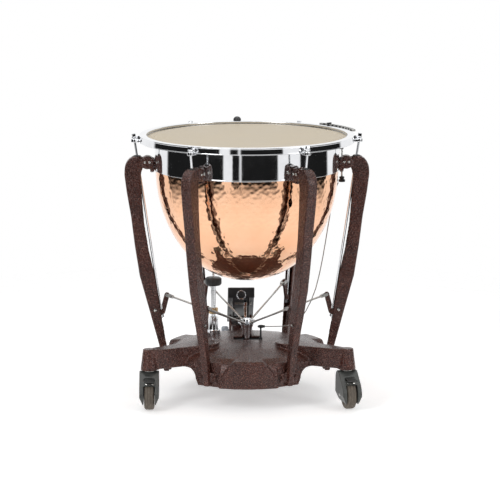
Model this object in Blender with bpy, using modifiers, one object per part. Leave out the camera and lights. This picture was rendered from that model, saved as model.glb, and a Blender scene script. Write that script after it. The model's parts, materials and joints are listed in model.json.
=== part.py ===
"""Pedal timpani: a hammered bowl hung in six cast struts, tuned by a pedal and spider.

Metres, +Z up. The drum's own axis is the line X = 0, Y = AXIS_Y, and the pedal is at +Y.
Each strut, rod and crank is laid out in a radial plane (distance from the drum axis, height)
and copied round the axis. Azimuth 0 faces the audience, at -Y.
"""

import math

import bmesh
import bpy
from mathutils import Matrix, Vector

# ---- Driving dimensions -------------------------------------------------------------------
AXIS_Y = -0.0815               # places the drum so that the whole object is centred on Y = 0
GAP = 0.0003                   # clearance between pieces that touch
RUNNING = 0.0004               # radial clearance of a pin or shaft that turns

STRUT_AZIMUTHS = (30, 90, 150, 210, 270, 330)

# Bowl, head and hoops
HEAD_TOP = 0.840
BOWL_RADIUS = 0.292
BOWL_BOTTOM = 0.3765
BOWL_WALL = 0.003
VENT_RADIUS = 0.012
BAND_WALL = 0.0027
BAND_HEIGHT = 0.0902
BAND_TOP = HEAD_TOP - 0.0158
BAND_BOTTOM = BAND_TOP - BAND_HEIGHT
BOWL_DEPTH = BAND_BOTTOM - BOWL_BOTTOM
HEAD_THICKNESS = 0.0009
HOOP_INNER = BOWL_RADIUS + 0.0275
HOOP_OUTER = HOOP_INNER + 0.0225
HOOP_WALL = 0.0065
HOOP_DEPTH = 0.022
HOOP_TOP = HEAD_TOP + 0.005
FLESH_WIDTH = 0.0105

# Struts, in a radial plane
STRUT_TOP = BAND_TOP - 0.0482
STRUT_TOP_WIDTH = 0.034
STRUT_FOOT_WIDTH = 0.018
STRUT_WALL = 0.0035
FOOT_RADIUS = 0.2500
FOOT_BOTTOM = 0.075
FLANGE_HALF_WIDTH = 0.032
PAD_HALF_WIDTH = 0.019

# Tension rods, cranks and spider, in a radial plane
ROD_RADIUS = 0.004
CLAW_DROP = 0.013              # claw seats are this far below the top of the hoop
ROD_TOP = (HOOP_OUTER + 0.016, HOOP_TOP - CLAW_DROP)
CRANK_SEAT = (0.276, 0.272)
CRANK_PIVOT = (0.295, 0.277)
CRANK_TIP = (0.257, 0.325)
CRANK_THICKNESS = 0.008
CRANK_SEAT_DROP = 0.0105
CRANK_PIN_RADIUS = 0.004
SPIDER_BALL = (0.024, 0.236)
SPIDER_ROD_RADIUS = 0.003
COLUMN_RADIUS = 0.016

# Casters
WHEEL_RADIUS = 0.046
WHEEL_WIDTH = 0.032
CASTER_TRAIL = 0.022
CASTER_REST = {"front_left": 180, "front_right": 192, "rear": 0}    # swivel from +Y, degrees
HOOD_WIDTH = 0.062
HOOD_TOP = 2 * WHEEL_RADIUS + 0.0275
SOCKET_BOTTOM = HOOD_TOP + 0.0025
ARM_BOTTOM = HOOD_TOP + 0.0055
ARM_TOP = ARM_BOTTOM + 0.062
SOCKET_TOP = ARM_TOP + 0.003
STEM_TOP = {"front_left": ARM_BOTTOM + 0.038, "front_right": ARM_BOTTOM + 0.038, "rear": ARM_BOTTOM + 0.018}
AXLE_RADIUS = 0.005

BRAKE_WIDTH = 0.030
BRAKE_PIVOT = (0.034, 2 * WHEEL_RADIUS + 0.007)    # (Y from the swivel axis, height)

# Base casting
DECK_TOP = 0.181
DECK_WALL = 0.008
SKIRT_RADIUS = 0.266
SKIRT_BOTTOM = 0.072
CASTER_X = 0.312
CASTER_FRONT_Y = -0.195
CASTER_REAR_Y = 0.355

# Pedal and its linkage, as (Y from the drum axis, height)
PEDAL_X = -0.0135
PEDAL_PIVOT = (0.395, ARM_BOTTOM + 0.043)
TOE_PIN = (0.283, 0.240)
PEDAL_TOE = (0.255, 0.294)
PEDAL_HEEL = (0.505, ARM_BOTTOM + 0.010)
PEDAL_HALF_WIDTH = 0.044
LEVER_PIVOT = (-0.170, 0.144)
LEVER_END = (0.230, 0.144)
LEVER_THICKNESS = 0.011

# Tuning gauge
GAUGE_INNER = HOOP_OUTER + 0.008
GAUGE_WIDTH = 0.012
GAUGE_AZIMUTHS = (104, 136)

# Fine tuner at the back of the counterhoop
TUNER_RADIUS = HOOP_OUTER + 0.0145
TUNER_AZIMUTH = 184

ROUND = 48                     # segments of a large turned piece; a multiple of 24 for the struts
SMALL = 12                     # segments of a small round piece

BAND_INNER = BOWL_RADIUS + GAP
BAND_OUTER = BAND_INNER + BAND_WALL


# ---- Scene, materials and helpers -----------------------------------------------------------
def clear_scene():
    for obj in list(bpy.data.objects):
        bpy.data.objects.remove(obj, do_unlink=True)


def new_collection(name):
    collection = bpy.data.collections.new(name)
    bpy.context.scene.collection.children.link(collection)
    return collection


clear_scene()
PARTS = new_collection("timpani_drum")
TOOLS = new_collection("cutters")


def material(name, color, roughness, metallic):
    mat = bpy.data.materials.new(name)
    mat.use_nodes = True
    shader = mat.node_tree.nodes["Principled BSDF"]
    shader.inputs["Base Color"].default_value = (*color, 1.0)
    shader.inputs["Roughness"].default_value = roughness
    shader.inputs["Metallic"].default_value = metallic
    mat.diffuse_color = (*color, 1.0)
    return mat


PAINT = material("hammertone_paint", (0.052, 0.020, 0.014), 0.42, 0.2)
COPPER = material("copper", (0.93, 0.55, 0.35), 0.15, 1.0)
CHROME = material("chrome", (0.80, 0.80, 0.82), 0.06, 1.0)
STEEL = material("steel", (0.42, 0.41, 0.40), 0.3, 1.0)
FILM = material("head_film", (0.60, 0.52, 0.40), 0.5, 0.0)
PLASTIC = material("black_plastic", (0.02, 0.02, 0.021), 0.45, 0.0)
TREAD = material("wheel_rubber", (0.12, 0.10, 0.08), 0.6, 0.0)
GREY = material("grey_plastic", (0.42, 0.47, 0.52), 0.4, 0.0)
BRASS = material("brass", (0.62, 0.46, 0.25), 0.3, 1.0)


def tool(mesh, name="cutter"):
    """Put a mesh in the hidden collection of cutters and prototypes."""
    obj = bpy.data.objects.new(name, mesh)
    TOOLS.objects.link(obj)
    obj.hide_render = True
    obj.display_type = "WIRE"
    return obj


def bm_mesh(bm, name="shape"):
    mesh = bpy.data.meshes.new(name)
    bm.to_mesh(mesh)
    bm.free()
    return mesh


def box(low, high):
    bm = bmesh.new()
    bmesh.ops.create_cube(bm, size=1.0)
    size = Vector(high) - Vector(low)
    centre = (Vector(high) + Vector(low)) / 2
    bmesh.ops.scale(bm, vec=size, verts=bm.verts)
    bmesh.ops.translate(bm, vec=centre, verts=bm.verts)
    return tool(bm_mesh(bm))


def cylinder(radius, start, end, segments=SMALL, end_radius=None):
    """A cylinder or cone between two points."""
    start, end = Vector(start), Vector(end)
    bm = bmesh.new()
    bmesh.ops.create_cone(
        bm, cap_ends=True, segments=segments, radius1=radius,
        radius2=radius if end_radius is None else end_radius, depth=(end - start).length)
    turn = (end - start).to_track_quat("Z", "Y").to_matrix().to_4x4()
    bmesh.ops.transform(bm, matrix=Matrix.Translation((start + end) / 2) @ turn, verts=bm.verts)
    return tool(bm_mesh(bm))


def ball(radius, centre, segments=SMALL, rings=8):
    bm = bmesh.new()
    bmesh.ops.create_uvsphere(bm, u_segments=segments, v_segments=rings, radius=radius)
    bmesh.ops.translate(bm, vec=Vector(centre), verts=bm.verts)
    return tool(bm_mesh(bm))


def turned(profile, segments=ROUND, centre=(0, 0, 0)):
    """Turn a closed (radius, height) outline round the vertical line through centre."""
    bm = bmesh.new()
    ring = [bm.verts.new((r, 0, z)) for r, z in profile]
    for a, b in zip(ring, ring[1:] + ring[:1]):
        bm.edges.new((a, b))
    obj = tool(bm_mesh(bm))
    screw = obj.modifiers.new("turn", "SCREW")
    screw.steps = screw.render_steps = segments
    screw.use_merge_vertices = True
    screw.merge_threshold = 0.00001
    return placed(baked(obj), Matrix.Translation(centre))


def outline_solid(outline, thickness):
    """A flat outline in XY, as a filled curve extruded evenly both ways along Z."""
    curve = bpy.data.curves.new("outline", "CURVE")
    curve.dimensions = "2D"
    curve.fill_mode = "BOTH"
    curve.extrude = thickness / 2
    spline = curve.splines.new("POLY")
    spline.points.add(len(outline) - 1)
    for point, (x, y) in zip(spline.points, outline):
        point.co = (x, y, 0, 1)
    spline.use_cyclic_u = True
    return baked(tool(curve))


def tube(points, radius, bevel_resolution=1):
    """A round wire through points, with closed ends."""
    curve = bpy.data.curves.new("wire", "CURVE")
    curve.dimensions = "3D"
    curve.bevel_depth = radius
    curve.bevel_resolution = bevel_resolution
    curve.use_fill_caps = True
    spline = curve.splines.new("POLY")
    spline.points.add(len(points) - 1)
    for point, co in zip(spline.points, points):
        point.co = (*co, 1)
    return baked(tool(curve))


def baked(obj):
    """Turn an object and its modifiers into one welded mesh with its faces pointing out."""
    graph = bpy.context.evaluated_depsgraph_get()
    graph.update()
    mesh = bpy.data.meshes.new_from_object(obj.evaluated_get(graph), depsgraph=graph)
    bpy.data.objects.remove(obj)
    bm = bmesh.new()
    bm.from_mesh(mesh)
    bmesh.ops.remove_doubles(bm, verts=bm.verts, dist=0.00001)
    bmesh.ops.dissolve_degenerate(bm, edges=bm.edges, dist=0.000005)
    loose = [edge for edge in bm.edges if not edge.link_faces]
    bmesh.ops.delete(bm, geom=loose, context="EDGES")
    bmesh.ops.recalc_face_normals(bm, faces=bm.faces)
    bm.to_mesh(mesh)
    bm.free()
    return tool(mesh)


def placed(obj, matrix):
    obj.data.transform(matrix)
    return obj


def joined(first, *others):
    return boolean(first, "UNION", others)


def cut(first, *others):
    return boolean(first, "DIFFERENCE", others)


def boolean(first, operation, others):
    for other in others:
        mod = first.modifiers.new(operation.title(), "BOOLEAN")
        mod.operation = operation
        mod.solver = "EXACT"
        mod.object = other
    result = baked(first)
    for other in others:
        bpy.data.objects.remove(other)
    return result


def node(name, source, mat, azimuth=None, origin=(0, 0, 0)):
    """A finished sub-part. A radial one is turned to its azimuth; its origin is on its joint."""
    mesh = source.data.copy()
    mesh.name = name
    bm = bmesh.new()
    bm.from_mesh(mesh)
    bmesh.ops.dissolve_limit(bm, angle_limit=math.radians(0.2), verts=bm.verts, edges=bm.edges)
    bmesh.ops.triangulate(bm, faces=bm.faces)
    bm.to_mesh(mesh)
    bm.free()
    mesh.materials.clear()
    mesh.materials.append(mat)
    mesh.transform(Matrix.Translation(-Vector(origin)))
    mesh.shade_smooth()
    mesh.set_sharp_from_angle(angle=math.radians(35))
    obj = bpy.data.objects.new(name, mesh)
    PARTS.objects.link(obj)
    place = Matrix.Translation((0, AXIS_Y, 0))
    if azimuth is not None:
        place = place @ Matrix.Rotation(math.radians(azimuth - 90), 4, "Z")
    obj.matrix_world = place @ Matrix.Translation(origin)
    return obj


def upright(obj):
    """Stand a flat solid drawn in XY up, so that its Y becomes height and it faces along Y."""
    return placed(obj, Matrix.Rotation(math.radians(90), 4, "X"))


def side_on(obj, x=0.0):
    """Stand a flat solid drawn as (Y, height) up in the plane at x."""
    turn = Matrix(((0, 0, 1, x), (1, 0, 0, 0), (0, 1, 0, 0), (0, 0, 0, 1)))
    return placed(obj, turn)


def smooth_run(points, steps):
    """Points along a Catmull-Rom curve through the given points, ends included."""
    ends = [points[0], *points, points[-1]]
    run = []
    for i in range(len(points) - 1):
        p0, p1, p2, p3 = (Vector(p) for p in ends[i:i + 4])
        for k in range(steps):
            t = k / steps
            run.append(0.5 * (2 * p1 + (p2 - p0) * t + (2 * p0 - 5 * p1 + 4 * p2 - p3) * t * t
                              + (3 * p1 - p0 - 3 * p2 + p3) * t ** 3))
    run.append(Vector(points[-1]))
    return [tuple(p) for p in run]


def hull_outline(circles, segments=SMALL):
    """The convex outline round a set of circles, each given as (x, y, radius)."""
    points = []
    for x, y, radius in circles:
        for k in range(segments):
            a = 2 * math.pi * k / segments
            points.append((round(x + radius * math.cos(a), 7), round(y + radius * math.sin(a), 7)))
    points = sorted(set(points))

    def half(ordered):
        chain = []
        for p in ordered:
            while len(chain) > 1:
                (ax, ay), (bx, by) = chain[-2], chain[-1]
                if (bx - ax) * (p[1] - ay) - (by - ay) * (p[0] - ax) > 1e-10:
                    break
                chain.pop()
            chain.append(p)
        return chain[:-1]

    return half(points) + half(points[::-1])


def bent_outline(start, knee, end, half, steps=6):
    """The outline of a bar of even half-width that turns once, at the knee, with round ends."""
    start, knee, end = Vector(start), Vector(knee), Vector(end)
    first, second = (knee - start).normalized(), (end - knee).normalized()
    side = 1 if first.cross(second) > 0 else -1

    def arc(centre, direction, degrees):
        turn = [math.radians(degrees) * side * k / steps for k in range(steps + 1)]
        return [tuple(centre + Matrix.Rotation(a, 2) @ direction * half) for a in turn]

    out_first = Vector((first.y, -first.x)) * side
    bend = math.degrees(first.angle(second))
    inner = knee - (out_first + Vector((second.y, -second.x)) * side) * half / (1 + first.dot(second))
    return (arc(knee, out_first, bend) + arc(end, Vector((second.y, -second.x)) * side, 180)
            + [tuple(inner)] + arc(start, -out_first, 180))


def between(a, b, share):
    return tuple(u + (v - u) * share for u, v in zip(a, b))


def radial_point(point, side=0.0):
    return (point[0], side, point[1])


# ---- Bowl, band, head and hoops ---------------------------------------------------------------
def bowl():
    outer_steps, inner_steps = 9, 5
    outer = []
    end = math.acos(VENT_RADIUS / BOWL_RADIUS)
    for k in range(outer_steps + 1):
        a = end * k / outer_steps
        outer.append((BOWL_RADIUS * math.cos(a), BAND_BOTTOM - BOWL_DEPTH * math.sin(a)))
    inner_radius = BOWL_RADIUS - BOWL_WALL
    inner = []
    end = math.acos(VENT_RADIUS / inner_radius)
    for k in range(inner_steps + 1):
        a = end * k / inner_steps
        inner.append((inner_radius * math.cos(a),
                      BAND_BOTTOM - (BOWL_DEPTH - BOWL_WALL) * math.sin(a)))
    edge = HEAD_TOP - HEAD_THICKNESS - GAP
    lip = BAND_TOP + GAP
    rim = [(inner_radius, lip), (inner_radius + 0.0008, edge), (BOWL_RADIUS + 0.001, edge),
           (BOWL_RADIUS + 0.005, lip + 0.005), (BOWL_RADIUS + 0.005, lip), (BOWL_RADIUS, lip)]
    node("bowl", turned(rim + outer + inner[::-1]), COPPER)


def support_band():
    profile = [(BAND_OUTER, BAND_TOP), (BAND_OUTER, BAND_BOTTOM),
               (BAND_INNER, BAND_BOTTOM), (BAND_INNER, BAND_TOP)]
    node("support_band", turned(profile), CHROME)


def drumhead():
    bearing = BOWL_RADIUS + 0.0015
    edge = HOOP_INNER - 0.0007
    drop = 0.0048
    profile = [(0, HEAD_TOP), (bearing, HEAD_TOP), (edge, HEAD_TOP - drop),
               (edge, HEAD_TOP - drop - HEAD_THICKNESS), (bearing, HEAD_TOP - HEAD_THICKNESS),
               (0, HEAD_TOP - HEAD_THICKNESS)]
    node("drumhead", turned(profile), FILM)


def flesh_hoop():
    inner = HOOP_INNER + 0.0012
    top = HOOP_TOP - HOOP_WALL - GAP
    profile = [(inner + FLESH_WIDTH, top), (inner + FLESH_WIDTH, top - FLESH_WIDTH),
               (inner, top - FLESH_WIDTH), (inner, top)]
    node("flesh_hoop", turned(profile), STEEL)


def counterhoop():
    skirt = HOOP_TOP - HOOP_DEPTH
    under = HOOP_TOP - HOOP_WALL
    inside = HOOP_OUTER - HOOP_WALL
    profile = [(HOOP_OUTER, HOOP_TOP), (HOOP_OUTER, skirt), (inside, skirt),
               (inside, under), (HOOP_INNER, under), (HOOP_INNER, HOOP_TOP)]
    hoop = turned(profile)
    claw_radius = 0.011
    claw_height = 0.012
    claw_top = ROD_TOP[1] - 0.001
    claws = []
    for azimuth in STRUT_AZIMUTHS:
        outline = hull_outline([(ROD_TOP[0], 0, claw_radius), (HOOP_OUTER + 0.007, 0, 0.013)], 12)
        claw = placed(outline_solid(outline, claw_height),
                      Matrix.Translation((0, 0, claw_top - claw_height / 2)))
        claw = cut(claw, rod_cylinder(ROD_RADIUS + 0.0015, -0.03, 0.02, 12))
        turn = Matrix.Rotation(math.radians(azimuth - 90), 4, "Z")
        claws.append(placed(claw, turn))
    node("counterhoop", joined(hoop, *claws, tuner_lug()), CHROME)


def rod_axis():
    """Unit direction of a tension rod, from the crank seat up to the claw."""
    return (Vector(radial_point(ROD_TOP)) - Vector(radial_point(CRANK_SEAT))).normalized()


def rod_cylinder(radius, low, high, segments=8, from_top=True):
    """A cylinder on the tension rod's axis, measured from the claw or from the crank seat."""
    base = Vector(radial_point(ROD_TOP if from_top else CRANK_SEAT))
    return cylinder(radius, base + rod_axis() * low, base + rod_axis() * high, segments)


def tension_rods():
    nut_gap = 0.0013
    length = (Vector(radial_point(ROD_TOP)) - Vector(radial_point(CRANK_SEAT))).length
    rod = rod_cylinder(ROD_RADIUS, -length - CRANK_SEAT_DROP - 0.012, 0.003, 8)
    collar = rod_cylinder(0.0085, 0.0015, 0.006, 12)
    head = rod_cylinder(0.0068, 0.0055, 0.016, 4)
    nut_top = -CRANK_SEAT_DROP - nut_gap
    nut = rod_cylinder(0.0070, nut_top - 0.008, nut_top, 6, False)
    whole = joined(rod, collar, head, nut)
    for i, azimuth in enumerate(STRUT_AZIMUTHS, 1):
        node(f"tension_rod_{i}", whole, CHROME, azimuth, radial_point(ROD_TOP))


# ---- Struts -----------------------------------------------------------------------------------
# Edges above the foot, as (distance out from the tension rod, share of the strut's height)
OUTER_RUN = [(0.0366, 0.285), (0.0507, 0.449), (0.0511, 0.592),
             (0.0486, 0.723), (0.0502, 0.835), (0.0491, 0.913)]
INNER_RUN = [(-0.0034, 0.909), (0.0041, 0.806), (0.0099, 0.686),
             (0.0090, 0.563), (0.0017, 0.449), (0.0006, 0.285)]


def rod_radius(height):
    """Distance of a tension rod from the drum axis at a height."""
    share = (height - CRANK_SEAT[1]) / (ROD_TOP[1] - CRANK_SEAT[1])
    return CRANK_SEAT[0] + (ROD_TOP[0] - CRANK_SEAT[0]) * share


def beside_rod(run):
    """The (radius, height) points of an edge that follows the tension rod."""
    heights = [FOOT_BOTTOM + (STRUT_TOP - FOOT_BOTTOM) * share for _, share in run]
    return [(rod_radius(height) + offset, height) for (offset, _), height in zip(run, heights)]


def strut_half_width(height):
    """Half the width across the strut, which tapers to the foot."""
    share = min(max((height - FOOT_BOTTOM) / (0.55 - FOOT_BOTTOM), 0.0), 1.0)
    return (STRUT_FOOT_WIDTH + (STRUT_TOP_WIDTH - STRUT_FOOT_WIDTH) * share ** 0.8) / 2


def tapered(obj, width, trim=0.0):
    """Scale a slab of the given width to the strut's own width at each height."""
    for vert in obj.data.vertices:
        vert.co.y *= (strut_half_width(vert.co.z) - trim) / (width / 2)
    return obj


def strut():
    outer = [(FOOT_RADIUS + 0.018, FOOT_BOTTOM), (FOOT_RADIUS + 0.032, FOOT_BOTTOM + 0.083)]
    outer += beside_rod(OUTER_RUN)
    inner = beside_rod(INNER_RUN) + [(FOOT_RADIUS + 0.008, FOOT_BOTTOM + 0.080),
                                     (FOOT_RADIUS + GAP, FOOT_BOTTOM)]
    out, top, pad = ROD_TOP[0], STRUT_TOP, BOWL_RADIUS
    shoulder = smooth_run([outer[-1], (out + 0.030, top - 0.031), (out + 0.016, top - 0.008),
                           (out - 0.008, top)], 2)[1:]
    throat = smooth_run([(pad + 0.011, top - 0.048), (pad + 0.017, top - 0.035), (pad + 0.028, top - 0.0305),
                         (pad + 0.040, top - 0.041), inner[0]], 2)[:-1]
    pad_edge = [(pad - 0.002, top), (pad - 0.002, top - 0.050)]
    body = tapered(upright(outline_solid(outer + shoulder + pad_edge + throat + inner, 0.1)), 0.1)

    wall = 0.006
    cavity_outer = [(r - wall, z) for r, z in outer[2:]]
    cavity_top = [(out + 0.022, top - 0.038), (out + 0.008, top - 0.024), (out - 0.012, top - 0.024),
                  (out - 0.022, top - 0.041)]
    cavity_inner = [(r - 0.02, z) for r, z in inner[:-2]]
    cavity_foot = [(FOOT_RADIUS - 0.015, FOOT_BOTTOM + 0.097), (FOOT_RADIUS + 0.022, FOOT_BOTTOM + 0.097)]
    cavity = outline_solid(cavity_outer + cavity_top + cavity_inner + cavity_foot, 0.1)
    cavity = tapered(upright(cavity), 0.1, STRUT_WALL)

    pad_low, pad_high = top - 0.0345, top - PAD_HALF_WIDTH
    pad_outline = hull_outline([(0, pad_low, PAD_HALF_WIDTH), (0, pad_high, PAD_HALF_WIDTH)], 14)
    pad_block = placed(side_on(outline_solid(pad_outline, 0.018)), Matrix.Translation((pad + 0.007, 0, 0)))
    lobe = cylinder(0.0185, (out - 0.009, 0, top - 0.024), (out - 0.009, 0, top - 0.0006), 14)
    flange = box((FOOT_RADIUS + GAP, -FLANGE_HALF_WIDTH, 0.088),
                 (FOOT_RADIUS + 0.0063, FLANGE_HALF_WIDTH, 0.118))
    bowl_clear = cylinder(BAND_OUTER + GAP, (0, 0, top - 0.076), (0, 0, top + 0.024), ROUND)
    rod_hole = rod_cylinder(ROD_RADIUS + 0.0028, -0.20, -0.04, 8)
    pin_hole = cylinder(CRANK_PIN_RADIUS + RUNNING, radial_point(CRANK_PIVOT, -0.03),
                        radial_point(CRANK_PIVOT, 0.03), 10)
    whole = cut(joined(body, pad_block, lobe, flange), cavity, bowl_clear, rod_hole, pin_hole)
    for i, azimuth in enumerate(STRUT_AZIMUTHS, 1):
        node(f"strut_{i}", whole, PAINT, azimuth)


# ---- Cranks and spider --------------------------------------------------------------------------
def bell_cranks():
    pivot, seat, tip = CRANK_PIVOT, CRANK_SEAT, CRANK_TIP
    knee = (seat[0] - 0.005, seat[1] - 0.002)
    plate = upright(outline_solid(bent_outline(pivot, knee, tip, 0.0083), CRANK_THICKNESS))
    seat_block = rod_cylinder(0.0085, -CRANK_SEAT_DROP, 0.006, 10, False)
    half = strut_half_width(pivot[1]) + 0.001
    pin = cylinder(CRANK_PIN_RADIUS, radial_point(pivot, -half), radial_point(pivot, half), 10)
    body = joined(plate, seat_block, pin)
    rod_hole = rod_cylinder(ROD_RADIUS + 0.0021, -0.03, 0.03, 10, False)
    tip_hole = cylinder(0.0042, radial_point(tip, -0.02), radial_point(tip, 0.02), 8)
    whole = cut(body, rod_hole, tip_hole)
    for i, azimuth in enumerate(STRUT_AZIMUTHS, 1):
        node(f"bell_crank_{i}", whole, PAINT, azimuth, radial_point(pivot))


def spider_rods():
    start, end = Vector(radial_point(SPIDER_BALL)), Vector(radial_point(CRANK_TIP))
    along = (end - start).normalized()
    turn = Matrix.Rotation(-math.atan2(along.z, along.x), 4, "Y")
    rod = cylinder(SPIDER_ROD_RADIUS, start - along * 0.004, end - along * 0.016, 8)
    fork_length, fork_width = 0.017, 0.0155
    fork = placed(box((-fork_length, -fork_width / 2, -0.005), (0.006, fork_width / 2, 0.005)),
                  Matrix.Translation(end) @ turn)
    slot = placed(box((-0.0115, -CRANK_THICKNESS / 2 - 0.0012, -0.01),
                      (0.02, CRANK_THICKNESS / 2 + 0.0012, 0.01)), Matrix.Translation(end) @ turn)
    pin = cylinder(0.0027, end + Vector((0, -fork_width / 2, 0)), end + Vector((0, fork_width / 2, 0)), 8)
    whole = joined(cut(joined(rod, fork), slot), pin)
    for i, azimuth in enumerate(STRUT_AZIMUTHS, 1):
        node(f"spider_rod_{i}", whole, STEEL, azimuth, radial_point(SPIDER_BALL))


def spider_hub():
    floor = SPIDER_BALL[1] - 0.0055
    top = SPIDER_BALL[1] + 0.013
    column = cylinder(COLUMN_RADIUS, (0, 0, LEVER_PIVOT[1] - 0.022), (0, 0, floor - 0.002), 24)
    flare = cylinder(COLUMN_RADIUS, (0, 0, floor - 0.016), (0, 0, floor - 0.004), 24, 0.032)
    head = cylinder(0.032, (0, 0, floor - 0.0042), (0, 0, top), 24)
    slots = []
    for azimuth in STRUT_AZIMUTHS:
        slot = box((0.0165, -0.0045, floor), (0.05, 0.0045, top + 0.01))
        slots.append(placed(slot, Matrix.Rotation(math.radians(azimuth - 90), 4, "Z")))
    fork = box((-LEVER_THICKNESS / 2 - 0.0008, -0.03, 0.09),
               (LEVER_THICKNESS / 2 + 0.0008, 0.03, LEVER_PIVOT[1] + 0.014))
    pin_hole = cylinder(0.0055, (-0.03, 0, LEVER_PIVOT[1]), (0.03, 0, LEVER_PIVOT[1]), 16)
    node("spider_hub", cut(joined(column, flare, head), *slots, fork, pin_hole), CHROME)


def column_guide():
    plate_top = DECK_TOP - DECK_WALL - GAP
    plate = box((-0.058, -0.038, plate_top - 0.012), (0.058, 0.040, plate_top))
    bore = cylinder(COLUMN_RADIUS + RUNNING, (0, 0, 0.1), (0, 0, 0.2), 24)
    node("column_guide", cut(plate, bore), PLASTIC)


# ---- Base casting -------------------------------------------------------------------------------
def dome():
    """The domed deck and its skirt, open underneath."""
    top = [(0.020, DECK_TOP), (0.070, DECK_TOP), (0.150, DECK_TOP - 0.007), (0.225, DECK_TOP - 0.020),
           (0.250, DECK_TOP - 0.032), (0.262, DECK_TOP - 0.060), (SKIRT_RADIUS, SKIRT_BOTTOM)]
    low = [(SKIRT_RADIUS - DECK_WALL, SKIRT_BOTTOM), (0.254, DECK_TOP - 0.060),
           (0.243, DECK_TOP - 0.040), (0.220, DECK_TOP - DECK_WALL - 0.020),
           (0.148, DECK_TOP - DECK_WALL - 0.007), (0.070, DECK_TOP - DECK_WALL),
           (0.020, DECK_TOP - DECK_WALL)]
    return turned(top + low, 36)


def foot_blocks():
    """Blocks under the deck that the strut feet bolt to, and the pockets that they stand in."""
    blocks, pockets = [], []
    for azimuth in STRUT_AZIMUTHS:
        turn = Matrix.Rotation(math.radians(azimuth - 90), 4, "Z")
        block_bottom = FOOT_BOTTOM + 0.038 if azimuth in (90, 270) else SKIRT_BOTTOM
        block = box((0.205, -0.042, block_bottom), (FOOT_RADIUS, 0.042, DECK_TOP - 0.030))
        pocket = box((FOOT_RADIUS, -0.042, 0.0), (0.33, 0.042, 0.30))
        blocks.append(placed(block, turn))
        pockets.append(placed(pocket, turn))
    return blocks, pockets


def caster_places():
    return {"front_left": (-CASTER_X, CASTER_FRONT_Y), "front_right": (CASTER_X, CASTER_FRONT_Y),
            "rear": (PEDAL_X, CASTER_REAR_Y)}


def arm(side):
    """One front arm: a deep beam from the dome to its tapered caster socket."""
    x, y = CASTER_X * side, CASTER_FRONT_Y
    outline = hull_outline([(x, y, 0.020), (x * 0.42, y * 0.42, 0.042)], 24)
    height = ARM_TOP - ARM_BOTTOM
    beam = placed(outline_solid(outline, height), Matrix.Translation((0, 0, ARM_BOTTOM + height / 2)))
    socket = cylinder(0.028, (x, y, SOCKET_BOTTOM), (x, y, SOCKET_TOP), 24, 0.0195)
    return beam, socket


def pedal_ears():
    ears = []
    y, z = PEDAL_PIVOT
    for side in (-1, 1):
        outline = hull_outline([(y, z, 0.011), (y - 0.012, 0.130, 0.004), (y + 0.012, 0.130, 0.004)])
        ears.append(side_on(outline_solid(outline, 0.009), PEDAL_X + side * 0.0345))
    return ears


def lever_ears():
    ears = []
    y, z = LEVER_PIVOT
    for side in (-1, 1):
        outline = hull_outline([(y, z, 0.011), (y - 0.012, DECK_TOP - 0.024, 0.003),
                                (y + 0.012, DECK_TOP - 0.023, 0.003)])
        ears.append(side_on(outline_solid(outline, 0.009), side * 0.0125))
    return ears


def base_casting():
    blocks, pockets = foot_blocks()
    beam_half = 0.032
    beam = box((PEDAL_X - beam_half, 0.225, ARM_BOTTOM), (PEDAL_X + beam_half, 0.425, ARM_BOTTOM + 0.025))
    rear_socket = cylinder(0.028, (PEDAL_X, CASTER_REAR_Y, SOCKET_BOTTOM),
                           (PEDAL_X, CASTER_REAR_Y, ARM_BOTTOM + 0.028), 24, 0.0265)
    side_cutters = [box((0.160, -0.4, 0.0), (0.4, 0.4, ARM_BOTTOM - GAP)),
                    box((-0.4, -0.4, 0.0), (-0.160, 0.4, ARM_BOTTOM - GAP))]
    shell = cut(dome(), *side_cutters)
    arms = [*arm(-1), *arm(1)]
    whole = joined(shell, *blocks, *arms, beam, rear_socket, *pedal_ears(), *lever_ears())
    opening = box((-0.043, -0.020, 0.12), (0.043, 0.034, 0.25))
    guide_room = box((-0.0583, -0.0383, 0.12), (0.0583, 0.0403, DECK_TOP - DECK_WALL))
    link_slot = box((-0.0145, 0.207, 0.06), (0.0145, 0.300, 0.30))
    spring_hole = cylinder(0.0163, (*SPRING_PLACE, 0.1), (*SPRING_PLACE, 0.3), 20)
    spring_seat = cylinder(0.0235, (*SPRING_PLACE, 0.1742), (*SPRING_PLACE, 0.3), 20)
    knob_y, knob_z = FRICTION_KNOB
    knob_hole = cylinder(0.0050, (PEDAL_X - 0.06, knob_y, knob_z), (PEDAL_X - 0.020, knob_y, knob_z), 12)
    axle_y, axle_z = PEDAL_PIVOT
    axle_hole = cylinder(0.0060 + GAP, (-0.1, axle_y, axle_z), (0.1, axle_y, axle_z), 20)
    pin_y, pin_z = LEVER_PIVOT
    pin_hole = cylinder(AXLE_RADIUS + GAP, (-0.03, pin_y, pin_z), (0.03, pin_y, pin_z), 16)
    stems = [cylinder(0.0085, (x, y, HOOD_TOP - 0.01), (x, y, STEM_TOP[name] + 0.002), 16)
             for name, (x, y) in caster_places().items()]
    whole = cut(whole, *pockets, opening, guide_room, link_slot, spring_hole, spring_seat, knob_hole,
                axle_hole, pin_hole, *stems)
    node("base_casting", whole, PAINT)


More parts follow.
